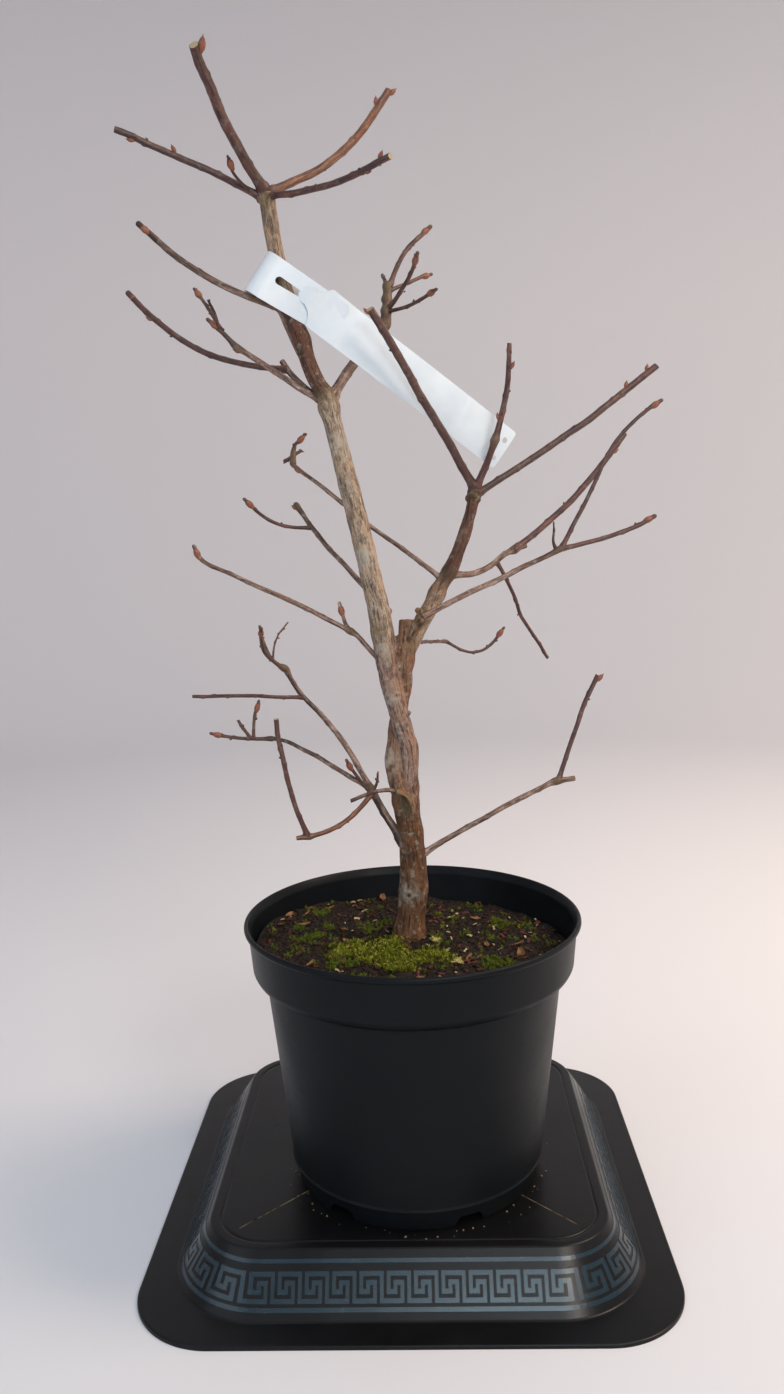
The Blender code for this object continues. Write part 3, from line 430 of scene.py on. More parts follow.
def limb_relief(run, turns, radius, out, spec, rng, bark):
    """Grids over the skin: swelling, bark relief, nearness to a joint and place in the grain."""
    along, wide = run[:, None] + 0 * turns, radius[:, None]
    swell = wide * 0.42 * np.exp(-np.clip(along - out, 0, None) / (2.2 * MM))
    length = run[-1]
    joint = 0 * along
    for knot in spec.get("knots", []):
        joint += 0.5 * np.exp(-((along - knot * length) / (3.2 * MM)) ** 2)
    if spec["end"] == "knob":
        joint += 0.4 * np.exp(-((along - length) / (5 * MM)) ** 2)
    for ring in rng.uniform(out + 4 * MM, out + 9 * MM, 4):
        swell += 0.06 * MM * np.exp(-((along - ring) / (0.35 * MM)) ** 2)
    for at, turn in node_places(rng, out + 6 * MM, length - 3 * MM, bark["pitch"]):
        round_way = (turns - turn + math.pi) % (2 * math.pi) - math.pi
        gap = ((along - at) / (1.3 * MM)) ** 2 + (wide * round_way / (1.0 * MM)) ** 2
        swell += bark["node"] * np.exp(-gap)
        swell += 0.05 * wide * np.exp(-((along - at) / (2 * MM)) ** 2)
    place = np.stack([np.cos(turns) * wide, np.sin(turns) * wide, along], axis=-1)
    spot = place.reshape(-1, 3)
    seed = int(rng.integers(1, 9999))
    grain = spot * (1, 1, bark["stretch"])
    rough = layered_noise(grain, bark["cell"], seed, 3) * bark["depth"]
    rough += lattice_noise(grain * (1, 1, 0.3), 3.5 * MM, seed + 7) * bark["lump"]
    lumps = 1 + 0.55 * lattice_noise(spot, 2.6 * MM, seed + 9).reshape(along.shape)
    swell += joint * lumps * (wide * 0.75 + 0.35 * MM)
    return swell, rough.reshape(along.shape), np.clip(joint * 2, 0, 1), place


OLD_BARK = dict(pitch=16 * MM, node=0.25 * MM, stretch=0.28, cell=1.5 * MM, depth=0.16 * MM,
                lump=0.22 * MM)
SHOOT_BARK = dict(pitch=13 * MM, node=0.42 * MM, stretch=0.2, cell=0.9 * MM, depth=0.05 * MM,
                  lump=0.1 * MM)

# %% Stack the rings into a closed skin


RING_STEP = 0.8 * MM
WAVER = 0.5 * MM


def limb_skin(name, sides, bark):
    """Points, faces and per-point values of one limb, closed at both ends."""
    points, radii = lines[name]
    spec = specs[name]
    rng = np.random.default_rng(sum(map(ord, name)) * 31 + len(name))
    run = run_along(points)
    out = way_out(name)
    start = max(0.0, out - 1.6 * MM - 1.5 * radii[0])
    at = np.linspace(start, run[-1], max(6, int((run[-1] - start) / RING_STEP)))
    centre = smoothed(places_at(points, run, at), max(2, int(3 * MM / RING_STEP)))
    fade = np.clip((at - out) / (12 * MM), 0, 1) * np.clip((run[-1] - at) / (8 * MM), 0, 1)
    for axis in range(3):
        drift = lattice_noise(np.stack([at, at * 0, at * 0], axis=1), 17 * MM,
                              int(rng.integers(1, 9999)))
        centre[:, axis] += drift * fade * WAVER
    radius = np.interp(at, run, radii)
    heading, across, upright = ring_frames(centre)
    turns = turns_of(sides)[None, :]
    swell, rough, joint, grain = limb_relief(at, turns, radius, out, spec, rng, bark)
    reach = (radius[:, None] + swell + rough)[..., None]
    ways = across[:, None] * np.cos(turns)[..., None] + upright[:, None] * np.sin(turns)[..., None]
    rings = centre[:, None] + ways * reach
    tail = end_rings(centre[-1], heading[-1], ways[-1] * reach[-1], spec["end"], rng)
    skin = np.concatenate([rings, tail])
    grain = grain + rng.uniform(0, 1, 3)
    values = {key: np.concatenate([grid, np.repeat(grid[-1:], len(tail), 0)])
              for key, grid in dict(relief=rough, joint=joint, grain=grain).items()}
    values["sawn"] = 0 * values["relief"]
    if spec["end"] == "cut":
        values["sawn"][len(at) + 1:] = 1
    return stack_rings(skin, values)


def end_rings(centre, heading, spokes, end, rng):
    """The last rings: a sawn face, a rounded knob, or a taper into a bud."""
    if end == "cut":
        lean = rng.normal(0, 0.12, 3)
        tilt = heading + lean - heading * (lean @ heading)
        rise = (spokes @ tilt)[:, None] * heading
        shapes = [(0.97, 0.12), (0.88, 0.16), (0.55, 0.10), (0.2, 0.02)]
        return np.array([centre + spokes * share + heading * lift * MM + rise * share
                         for share, lift in shapes])
    if end == "bud":
        shapes = [(0.9, 0.4), (0.7, 0.8), (0.35, 1.1)]
        return np.array([centre + spokes * s + heading * lift * MM for s, lift in shapes])
    reach = np.linalg.norm(spokes, axis=1).mean()
    shapes = [(0.93, 0.3), (0.78, 0.58), (0.55, 0.8), (0.28, 0.92)]
    return np.array([centre + spokes * s + heading * lift * reach for s, lift in shapes])


def stack_rings(skin, values):
    """Joins neighbouring rings with faces and closes both ends on a middle point."""
    count, sides = skin.shape[:2]
    points = np.concatenate([skin.reshape(-1, 3), [skin[0].mean(axis=0), skin[-1].mean(axis=0)]])
    values = {key: np.concatenate([grid.reshape(-1, *grid.shape[2:]),
                                   [grid[0].mean(axis=0), grid[-1].mean(axis=0)]])
              for key, grid in values.items()}
    here = np.arange(sides)
    after = (here + 1) % sides
    rows = np.arange(count - 1)[:, None, None] * sides
    quads = rows + np.stack([here, after, after + sides, here + sides], axis=-1)
    last = (count - 1) * sides
    foot = np.stack([after, here, 0 * here + count * sides], axis=-1)
    tip = np.stack([last + here, last + after, 0 * here + count * sides + 1], axis=-1)
    return points, quads.reshape(-1, 4).tolist() + foot.tolist() + tip.tolist(), values


def join_skins(name, skins, material):
    """Several closed skins as one piece."""
    points, faces, values, start = [], [], {}, 0
    for skin_points, skin_faces, skin_values in skins:
        points.append(skin_points)
        faces += [tuple(start + v for v in face) for face in skin_faces]
        for key, grid in skin_values.items():
            values.setdefault(key, []).append(grid)
        start += len(skin_points)
    piece = mesh_piece(name, np.concatenate(points), faces, material)
    for key, grids in values.items():
        give_values(piece, key, np.concatenate(grids))
    return piece


# %% [markdown]
# ## Bark colours
#
# Old azalea bark is a pale grey tan with brown streaks that run along the stem, grey-green
# lichen and darker cracks. A year-old shoot is smooth and maroon, and dulls to grey-brown
# near its foot. One node group mixes all of these: streaks from noise that is stretched
# along the wood, patches from wide noise, and dark cracks from the relief that the mesh
# carries, partly the cracks' own colour and partly painted shade where the relief sinks in.

# %% A group for weathered wood


NODE_COLUMN, NODE_ROW, NODES_HIGH = 220, 260, 4


def add_node(tree, kind, inputs=None, **settings):
    """A node with its settings. Each input gets a plain value, or follows another's socket.

    In the node editor the nodes stand in columns, from left to right as they are made.
    """
    column, row = divmod(len(tree.nodes), NODES_HIGH)
    node = tree.nodes.new(kind)
    node.location = (NODE_COLUMN * column, -NODE_ROW * row)
    for key, value in settings.items():
        setattr(node, key, value)
    for key, value in (inputs or {}).items():
        if isinstance(value, bpy.types.NodeSocket):
            tree.links.new(value, node.inputs[key])
        else:
            node.inputs[key].default_value = value
    return node


def maths(tree, operation, *values, **settings):
    return add_node(tree, "ShaderNodeMath", dict(enumerate(values)), operation=operation,
                    **settings).outputs[0]


def vector_maths(tree, operation, values):
    return add_node(tree, "ShaderNodeVectorMath", values, operation=operation).outputs[0]


def combined(tree, *values):
    """A vector from up to three numbers or sockets."""
    return add_node(tree, "ShaderNodeCombineXYZ", dict(enumerate(values))).outputs[0]


def ranged(tree, value, low, high, start=0.0, stop=1.0):
    """Turns low to high into start to stop, and holds what lies beyond."""
    return add_node(tree, "ShaderNodeMapRange", {
        "Value": value, "From Min": low, "From Max": high, "To Min": start,
        "To Max": stop}).outputs["Result"]


def feed(tree, node, sources):
    """Links sockets to a node's named inputs."""
    for key, source in sources.items():
        tree.links.new(source, node.inputs[key])


def new_group(name, inputs, outputs):
    """An empty shader node group with its inputs and outputs named and ready."""
    group = bpy.data.node_groups.new(name, "ShaderNodeTree")
    add_sockets(group, "INPUT", inputs)
    add_sockets(group, "OUTPUT", [(label, kind, None) for label, kind in outputs])
    return group, add_node(group, "NodeGroupInput"), add_node(group, "NodeGroupOutput")


def add_sockets(tree, way, rows):
    for label, kind, default in rows:
        socket = tree.interface.new_socket(name=label, in_out=way, socket_type="NodeSocket" + kind)
        if default is not None:
            socket.default_value = default


def mix_colour(tree, share, first, second):
    """A colour mix whose three inputs may be numbers, colours or other nodes' sockets."""
    first, second = ((*value, 1) if isinstance(value, tuple) else value
                     for value in (first, second))
    return add_node(tree, "ShaderNodeMix", {0: share, 6: first, 7: second},
                    data_type="RGBA").outputs[2]


def noise_mask(tree, vector, scale, low, high, detail=4.0, rough=0.6):
    """Noise that is cut to a mask: 0 under low, 1 over high."""
    noise = add_node(tree, "ShaderNodeTexNoise", {
        "Vector": vector, "Scale": scale, "Detail": detail, "Roughness": rough})
    return ranged(tree, noise.outputs["Fac"], low, high)


def stretched(tree, vector, scale):
    return add_node(tree, "ShaderNodeMapping", {"Vector": vector, "Scale": scale}).outputs[0]


def build_wood_group():
    group, start, end = new_group(
        "weathered_wood",
        [("Vector", "Vector", None), ("Light", "Color", (1, 1, 1, 1)),
         ("Dark", "Color", (0, 0, 0, 1)), ("Stain", "Color", (0, 0, 0, 1)),
         ("Lichen", "Float", 0.3), ("Relief", "Float", 0.0)],
        [("Color", "Color"), ("Roughness", "Float"), ("Height", "Float")])
    vector, light, dark, stain, lichen, relief = list(start.outputs)[:6]

    def along_the_grain(stretch, *mask):
        return noise_mask(group, stretched(group, vector, (1, 1, stretch)), *mask)

    streaks = along_the_grain(0.16, 620, 0.32, 0.68)
    fine = along_the_grain(0.3, 1900, 0.3, 0.7)
    fissures = along_the_grain(0.09, 900, 0.53, 0.63, 3)
    patches = noise_mask(group, vector, 90, 0.42, 0.62)
    spots = noise_mask(group, vector, 260, 0.56, 0.66)
    colour = mix_colour(group, streaks, dark, light)
    colour = mix_colour(group, patches, colour, stain)
    colour = mix_colour(group, fissures, colour, dark)
    dim = maths(group, "MULTIPLY_ADD", fine, 0.9, 0.55)
    speckled = vector_maths(group, "SCALE", {0: colour, "Scale": dim})
    # Painted shade: the colour darkens where the relief sinks in, on top of the cracks' own darker
    # colour.
    crack_shade_mask = ranged(group, relief, -0.16 * MM, 0.05 * MM)
    crack_shaded_colour = mix_colour(group, crack_shade_mask, srgb(62, 46, 38), speckled)
    grown = maths(group, "MULTIPLY", spots, lichen)
    feed(group, end, {
        "Color": mix_colour(group, grown, crack_shaded_colour, srgb(176, 176, 158)),
        "Height": fine, "Roughness": ranged(group, streaks, 0, 1, 0.5, 0.85)})
    return group


WOOD_GROUP = build_wood_group()

# %% Bark and sawn wood materials


def new_material(name, roughness=0.5, specular=0.5):
    material = bpy.data.materials.new(name)
    material.use_nodes = True
    shader = material.node_tree.nodes["Principled BSDF"]
    shader.inputs["Roughness"].default_value = roughness
    shader.inputs["Specular IOR Level"].default_value = specular
    return material, material.node_tree, shader


def object_vector(tree):
    return add_node(tree, "ShaderNodeTexCoord").outputs["Object"]


def attribute(tree, name, output="Fac"):
    return add_node(tree, "ShaderNodeAttribute", attribute_name=name).outputs[output]


def bump_into(tree, shader, height, strength, distance):
    bump = add_node(tree, "ShaderNodeBump", {
        "Height": height, "Strength": strength, "Distance": distance})
    feed(tree, shader, {"Normal": bump.outputs["Normal"]})


def bark_material(name, light, dark, stain, lichen, specular=0.25, roughness=None):
    material, tree, shader = new_material(name, specular=specular)
    wood = add_node(tree, "ShaderNodeGroup", {
        "Vector": attribute(tree, "grain", "Vector"), "Light": (*light, 1),
        "Dark": (*dark, 1), "Stain": (*stain, 1), "Lichen": lichen,
        "Relief": attribute(tree, "relief")}, node_tree=WOOD_GROUP)
    worn = mix_colour(tree, attribute(tree, "joint"), wood.outputs["Color"], srgb(98, 78, 56))
    feed(tree, shader, {"Base Color": mix_colour(
        tree, attribute(tree, "sawn"), worn, srgb(168, 146, 112))})
    if roughness:
        shader.inputs["Roughness"].default_value = roughness
    else:
        feed(tree, shader, {"Roughness": wood.outputs["Roughness"]})
    bump_into(tree, shader, wood.outputs["Height"], 0.5, 0.15 * MM)
    return material


bough_bark = bark_material("azalea_bough_bark", srgb(180, 150, 134), srgb(70, 50, 44),
                           srgb(124, 94, 80), 0.3, 0.3)
shoot_bark = bark_material("azalea_shoot_bark", srgb(122, 80, 66), srgb(48, 27, 28),
                           srgb(82, 46, 40), 0.12, 0.5, 0.42)
amber_bark = bark_material("azalea_amber_bark", srgb(176, 118, 76), srgb(84, 50, 36),
                           srgb(136, 78, 48), 0.08, 0.5, 0.42)
twig_bark = bark_material("azalea_twig_bark", srgb(128, 92, 76), srgb(58, 36, 34),
                          srgb(92, 60, 50), 0.12, 0.4, 0.5)

# %% [markdown]
# ## Trunk and stout stems
#
# Two stems have grown round each other and fused. One climbs in front from right to left and
# goes on as the leader. The other bulges out at the left lower down, passes behind, and ends
# in a sawn stub beside the fork. They could be sculpted by hand. Here each is a simple tube
# along measured centres, all tubes are remeshed into one skin, as wood fuses them, and the
# bark's relief is then pushed into that skin along each stem's own grain.

# %% The twisted stems: height above the soil, right, back, radius, in mm
FRONT_STEM = [
    (84, -1.8, 0.0, 7.2), (92.1, -1.3, -0.5, 7.7), (104.6, 0.0, -0.5, 6.4),
    (117.2, 0.3, -1.0, 6.4), (129.7, -2.2, -2.0, 6.1), (142.2, -5.5, -2.4, 5.7),
    (154.6, -8.0, -1.6, 6.4), (167.9, -10.9, -0.6, 6.5), (177.8, -12.6, -1.2, 6.5),
]
BACK_STEM = [
    (84, -2.2, 0.5, 7.4), (92.1, -3.1, -0.6, 7.9), (104.9, -8.0, -1.2, 6.6),
    (117.4, -7.7, 0.6, 6.0), (129.8, -6.6, 3.6, 5.2), (142.2, -4.4, 4.6, 4.7),
    (154.4, -1.0, 2.4, 4.5), (167.6, -0.3, 0.8, 4.9), (177.4, 0.8, 0.4, 5.8),
    (188, 1.1, 1.4, 5.3), (197.4, 1.4, 2.4, 5.1),
]
CALLUS = [(76, 1.5, -8.2, 1.2), (82, 2.2, -8.6, 1.4), (88, 0.8, -9.0, 1.5), (92, -3, -9.6, 1.7),
          (93, -8, -9.0, 1.7)]
PATH_STEP = 1.2 * MM
WOOD_VOXEL = 0.6 * MM
WOOD_SMOOTHING = 6


def stem_path(rows):
    rows = np.array(rows) * MM
    points = rows[:, [1, 2, 0]] + (0, 0, TRUNK_FOOT)
    return points + POT_AXIS, rows[:, 3]


def fine_path(points, radii, width=4):
    run = run_along(points)
    at = np.linspace(0, run[-1], int(run[-1] / PATH_STEP))
    both = places_at(np.column_stack([points, radii]), run, at)
    both = smoothed(both, width)
    return both[:, :3], both[:, 3]


def main_paths():
    """Centre lines and radii of the wood that is fused into one skin."""
    trunk_points, trunk_radii = lines["trunk"]
    low = trunk_points[:, 2] < TRUNK_FOOT + 96 * MM
    foot = trunk_points[low]
    sunk = np.concatenate([[foot[0] - (0, 0, 4 * MM)], foot])
    sunk_radii = np.concatenate([[trunk_radii[0] * 1.12], trunk_radii[low]])
    front_points, front_radii = stem_path(FRONT_STEM)
    leader_points, leader_radii = lines["leader"]
    above = leader_points[:, 2] > front_points[-1, 2] + 18 * MM
    rising = np.concatenate([front_points, leader_points[above]])
    rising_radii = np.concatenate([front_radii, leader_radii[above]])
    paths = {"foot": fine_path(sunk, sunk_radii), "leader": fine_path(rising, rising_radii),
             "stub": fine_path(*stem_path(BACK_STEM)),
             "callus": fine_path(*stem_path(CALLUS), width=1)}
    for name in ("upper_leader", "right_stem", "fork_spur"):
        paths[name] = fine_path(*lines[name], width=3)
    return paths


MAIN_PATHS = main_paths()
for path_name, (path_points, path_radii) in MAIN_PATHS.items():
    print(path_name, "is", round(run_along(path_points)[-1] / MM), "mm long")

# %% Swell the joints, then fuse the tubes into one skin
STOUT_KNOTS = {"leader": [(107, 0.8), (196, 0.3), (244, 1.5)],
               "upper_leader": [(2, 1.2), (36, 0.9), (120, 2.1)],
               "right_stem": [(52, 0.9), (68, 0.7), (120, 1.5)], "fork_spur": [(27, 0.9)]}
LUMPS = [(-19.6, -2, 201.4, 2.1), (-9.2, -2, 203, 2.2), (-10.5, -2, 206, 1.6),
         (1.2, -4.5, 141, 1.5), (-5, 0, 181, 3.6), (-4.4, 0, 186, 2.2), (10, -7, 199, 2.4),
         (12.5, -8, 204, 2.0), (8, -5, 203, 2.2), (14, -4, 201, 1.8)]
JOINTS = {"leader": 8, "upper_leader": 9, "right_stem": 8, "fork_spur": 5}


def plain_tube(points, radii, sides=20):
    """A closed tube with a flat end, for the fusing."""
    heading, across, upright = ring_frames(points)
    turns = turns_of(sides)[None, :, None]
    spokes = across[:, None] * np.cos(turns) + upright[:, None] * np.sin(turns)
    return stack_rings(points[:, None] + spokes * radii[:, None, None], {})


def lump(centre, radius):
    """A small closed ball, for a knob of callus."""
    rise = np.linspace(-0.95, 0.95, 7)
    return plain_tube(centre + rise[:, None] * (0, 0, radius), np.sqrt(1 - rise ** 2) * radius, 10)


def joint_lumps():
    """The measured knobs, and a cluster of small ones round each joint of the stout wood."""
    skins = [lump(np.array([x, y, height]) * MM + POT_AXIS + (0, 0, TRUNK_FOOT), radius * MM)
             for x, y, height, radius in LUMPS]
    rng = np.random.default_rng(77)
    for name, count in JOINTS.items():
        centre, radii = MAIN_PATHS[name]
        _, across, upright = ring_frames(centre)
        for turn in rng.uniform(0, 2 * math.pi, count):
            near = max(0, len(centre) - 1 - int(rng.integers(0, 6)))
            out = across[near] * math.cos(turn) + upright[near] * math.sin(turn)
            reach = radii[near] * rng.uniform(0.85, 1.15)
            skins.append(lump(centre[near] + out * reach, rng.uniform(1.2, 2.3) * MM))
    return skins


def fused_wood():
    skins = joint_lumps()
    for name, (points, radii) in MAIN_PATHS.items():
        run = run_along(points) / MM
        radii = radii.copy()
        for at, lift in STOUT_KNOTS.get(name, []):
            radii += lift * MM * np.exp(-((run - at) / 4.5) ** 2)
        skins.append(plain_tube(points, radii))
    rough = join_skins("stout_stems", skins, None)
    remesh = rough.modifiers.new("fuse", "REMESH")
    remesh.mode = "VOXEL"
    remesh.voxel_size = WOOD_VOXEL
    relax = rough.modifiers.new("relax", "SMOOTH")
    relax.iterations = WOOD_SMOOTHING
    relax.factor = 0.5
    return finished(rough)


def plain_mesh(thing):
    """The mesh that an object shows, with its modifiers or its curve's fill worked out."""
    graph = bpy.context.evaluated_depsgraph_get()
    return bpy.data.meshes.new_from_object(thing.evaluated_get(graph))


def finished(piece):
    """Applies an object's modifiers."""
    piece.data, old_name = plain_mesh(piece), piece.name
    piece.modifiers.clear()
    piece.data.name = old_name
    return piece


def triangles(piece):
    return sum(len(face.vertices) - 2 for face in piece.data.polygons)


stout_stems = fused_wood()
print("stout stems:", triangles(stout_stems), "triangles")

# %% Push the bark's grain into the skin
SCAR_AT = (-3.2, 83.5)
SCAR_SIZE = (3.6, 6.4)
LICHEN_SPOTS = [(-12.5, -4, 109, 7.5), (-11, -7, 151, 6), (-3, -9, 30, 7), (-8, -3, 60, 5),
                (-14, -6, 180, 5), (-24, -10, 236, 9), (-40, -5, 300, 9), (30, 10, 250, 7)]
MOSSY_RINGS = [(-16, -5, 192, 6), (-13, 4, 194, 7), (6, -2, 183, 4.5), (-42, -1, 329, 8),
               (-72, -8, 441, 7), (46, 21, 274, 6), (10, -7, 199, 4), (28, 16, 223, 5)]
RUSTY_SPOTS = [(-5, -5, 176, 5), (2, -4, 4, 7), (-2, -6, 158, 4), (-4, -8, 96, 5)]
DARK_WOOD = (112, 80, 66)
STEM_TINTS = {"foot": {0: (116, 82, 56)}, "stub": {0: (148, 112, 88)},
              "leader": {88: (164, 136, 122), 118: (188, 168, 148)},
              "callus": {0: (158, 128, 94)}, "fork_spur": {0: (150, 120, 94)},
              "upper_leader": {0: DARK_WOOD, 50: DARK_WOOD, 66: (178, 156, 134)},
              "right_stem": {40: (184, 162, 140), 66: DARK_WOOD}}


def grain_places(points):
    """Places across and along the nearest stem, and the blended colour of the stems near by."""
    best = np.full(len(points), np.inf)
    place = np.zeros_like(points)
    tint, weight = np.zeros_like(points), np.zeros((len(points), 1))
    for order, (name, (centre, radii)) in enumerate(MAIN_PATHS.items()):
        run = run_along(centre) + order * 0.4
        heading, across, upright = ring_frames(centre)
        stops = np.array(list(STEM_TINTS[name])) * MM
        tones = np.array([srgb(*tone) for tone in STEM_TINTS[name].values()])
        own = places_at(tones, stops, run - run[0])
        for start in range(0, len(points), 20000):
            part = slice(start, start + 20000)
            gap = np.linalg.norm(points[part, None] - centre[None], axis=2)
            near = gap.argmin(axis=1)
            skin = gap[np.arange(len(near)), near] - radii[near]
            away = points[part] - centre[near]
            spot = np.stack([(away * across[near]).sum(axis=1), (away * upright[near]).sum(axis=1),
                             run[near] + (away * heading[near]).sum(axis=1)], axis=1)
            closer = skin < best[part]
            best[part] = np.where(closer, skin, best[part])
            place[part][closer] = spot[closer]
            share = np.exp(-np.clip(skin, -MM, 9 * MM) / (0.7 * MM))[:, None]
            tint[part] += own[near] * share
            weight[part] += share
    return place, tint / weight


def spots_near(local, spots):
    mask = np.zeros(len(local))
    for x, y, z, size in spots:
        away = np.linalg.norm(local - (x, y, z), axis=1) / size
        mask = np.maximum(mask, np.exp(-away ** 2))
    return mask


def carve_bark(piece):
    """Pushes the skin in and out, and keeps masks for the material."""
    points = read_vectors(piece.data.vertices)
    normals = read_vectors(piece.data.vertex_normals, "vector")
    local = (points - POT_AXIS - (0, 0, TRUNK_FOOT)) / MM
    x, y, z = local.T
    place, tint = grain_places(points)
    fibres = place * (1, 1, 0.2)
    youth = np.clip((z - 150) / 130, 0, 1)
    coarse = layered_noise(fibres, 2.3 * MM, 11, 3)
    fibre = 1 - 2.4 * np.abs(layered_noise(fibres, 1.3 * MM, 23, 3))
    flakes = layered_noise(place * (1, 1, 0.45), 2.0 * MM, 37, 2)
    lumps = layered_noise(points, 9 * MM, 31, 2)
    relief = (0.20 * coarse + 0.16 * fibre + 0.22 * flakes) * (1 - 0.45 * youth) * MM
    push = relief + lumps * (0.9 - 0.55 * youth) * MM
    away = np.hypot((x - SCAR_AT[0] + 0.28 * (z - SCAR_AT[1])) / SCAR_SIZE[0],
                    (z - SCAR_AT[1]) / SCAR_SIZE[1])
    hollow = np.exp(-(away / 0.8) ** 2) * np.clip(-y / 4, 0, 1)
    push -= (1.9 * hollow * (1 + 0.5 * coarse)) * MM
    broken = np.clip(0.55 + 1.5 * layered_noise(points, 2.6 * MM, 43, 2), 0, 1)
    points += normals * push[:, None]
    piece.data.vertices.foreach_set("co", points.reshape(-1))
    piece.data.update()
    stub_top = (z > 196.6) & (np.hypot(x - 1.4, y - 2.4) < 4.3)
    # The hollow also lowers the stored relief, so the painted crack shade darkens the scar.
    for name, values in {
            "relief": relief - hollow * 0.12 * MM, "grain": place, "tint": tint,
            "lichen": 0.75 * spots_near(local, LICHEN_SPOTS) * broken,
            "mossy": 0.9 * spots_near(local, MOSSY_RINGS) * (0.35 + 0.65 * broken),
            "rusty": 0.45 * spots_near(local, RUSTY_SPOTS) * (0.3 + 0.7 * broken),
            "hollow": hollow, "sawn": stub_top * 1.0}.items():
        give_values(piece, name, values)


carve_bark(stout_stems)
stout_stems.data.shade_smooth()
print("bark relief carved on", len(stout_stems.data.vertices), "points")

# %% The old wood's material: brown and fissured below, paler and smoother above


def stout_bark_material():
    material, tree, shader = new_material("azalea_old_bark", specular=0.22)
    tint = attribute(tree, "tint", "Vector")
    wood = add_node(tree, "ShaderNodeGroup", {
        "Vector": attribute(tree, "grain", "Vector"), "Light": tint,
        "Dark": vector_maths(tree, "MULTIPLY", {0: tint, 1: (0.26, 0.21, 0.18)}),
        "Stain": vector_maths(tree, "MULTIPLY", {0: tint, 1: (0.72, 0.62, 0.54)}),
        "Lichen": 0.3, "Relief": attribute(tree, "relief")},
        node_tree=WOOD_GROUP)
    colour = wood.outputs["Color"]
    for mask, over in (("lichen", (176, 168, 152)), ("rusty", (140, 96, 64)),
                       ("mossy", (88, 76, 48)), ("hollow", (74, 66, 44)),
                       ("sawn", (118, 88, 64))):
        colour = mix_colour(tree, attribute(tree, mask), colour, srgb(*over))
    feed(tree, shader, {"Base Color": colour, "Roughness": wood.outputs["Roughness"]})
    bump_into(tree, shader, wood.outputs["Height"], 0.6, 0.2 * MM)
    return material


paint(stout_stems, stout_bark_material())
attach(stout_stems, "root")
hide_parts("trunk", "leader", "upper_leader", "right_stem", "fork_spur")
print("trunk and stout stems stand for five solids")

# %% [markdown]
# ## Boughs and shoots
#
# Each remaining limb grows from the plan as its own wrinkled skin. Limbs of one age and
# colour become one piece, so the file stays easy to handle: grey-brown boughs, maroon shoots
# of last summer, and two low shoots that are amber.

# %% Grow the boughs and shoots
BOUGHS = ["mid_right_bough", "inner_bough", "left_bough", "left_spur", "back_right_spur",
          "back_left_bough", "mid_left_bough", "low_bough", "low_cut_spur", "low_back_bough",
          "low_left_bough", "low_right_bough", "long_left_shoot", "upper_left_shoot"]
AMBER = ["low_front_bough", "top_shoot_right"]
SHOOTS = [name for name in LIMBS
          if name not in BOUGHS + AMBER + ["leader", "upper_leader", "right_stem", "fork_spur"]]


def grow(piece_name, names, sides, bark, material):
    piece = join_skins(piece_name, [limb_skin(name, sides, bark) for name in names], material)
    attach(piece, "root")
    print(piece_name, "has", len(names), "limbs and", triangles(piece), "triangles")
    return piece


boughs = grow("azalea_boughs", BOUGHS + list(SPURS), 16, OLD_BARK, bough_bark)
shoots = grow("azalea_shoots", SHOOTS, 14, SHOOT_BARK, shoot_bark)
amber_shoots = grow("amber_shoots", AMBER, 14, SHOOT_BARK, amber_bark)
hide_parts(*BOUGHS)
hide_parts(*SHOOTS)
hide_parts(*AMBER)

# %% [markdown]
# ## Twigs
#
# Where a bough ends, a tuft of short twigs goes on in every direction. These are the plan's
# twig masses, grown by the same rule as the boughs.

# %% Grow the twigs
TWIG_NAMES = [name for name in lines if name.split("_twig")[0] != name]
twigs = grow("azalea_twigs", TWIG_NAMES, 12, SHOOT_BARK, twig_bark)
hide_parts(*TWIG_MASSES)

# %% [markdown]
# ## Winter buds
#
# Every tip ends in a slim red-brown bud, wrapped in scales that overlap like roof tiles and
# end in a dark hair point. Smaller buds sit in the old leaf axils. All buds share one
# shape, so one is modelled, points mark where buds grow, and Geometry Nodes set a copy on
# each point, turned along its aim and rolled at random.

# %% One bud: a core wrapped in pointed scales
BUD_LENGTH = 7.5 * MM
SCALE_ROWS = [(0.00, 5, 0.46, 0.42), (0.16, 5, 0.50, 0.46), (0.34, 4, 0.46, 0.44),
              (0.52, 3, 0.36, 0.42)]


def bud_girth(share):
    """Half width of the bud at a share of its length, for a bud one unit long."""
    places = [0, 0.1, 0.28, 0.45, 0.65, 0.82, 0.93, 1.0, 1.12]
    widths = [0.13, 0.18, 0.235, 0.245, 0.2, 0.12, 0.055, 0.022, 0.006]
    return np.interp(share, places, widths)


def patch_faces(rows):
    """Faces of a patch that is three points wide."""
    return [(k, k + 1, k + 4, k + 3) for row in range(rows) for k in (3 * row, 3 * row + 1)]


def bud_scale(start, length, turn, spread):
    """One scale as a curved patch that hugs the bud and stands off a little at its tip."""
    points = []
    for share in np.linspace(0, 1, 5):
        place = start + length * share
        half = spread * math.sin(math.pi * (0.24 + 0.74 * share)) ** 0.8
        for side in (-1, 0, 1):
            angle = turn + side * half
            reach = bud_girth(place) + 0.012 + 0.022 * share - 0.012 * abs(side)
            points.append((reach * math.cos(angle), reach * math.sin(angle), place))
    return points, patch_faces(4)


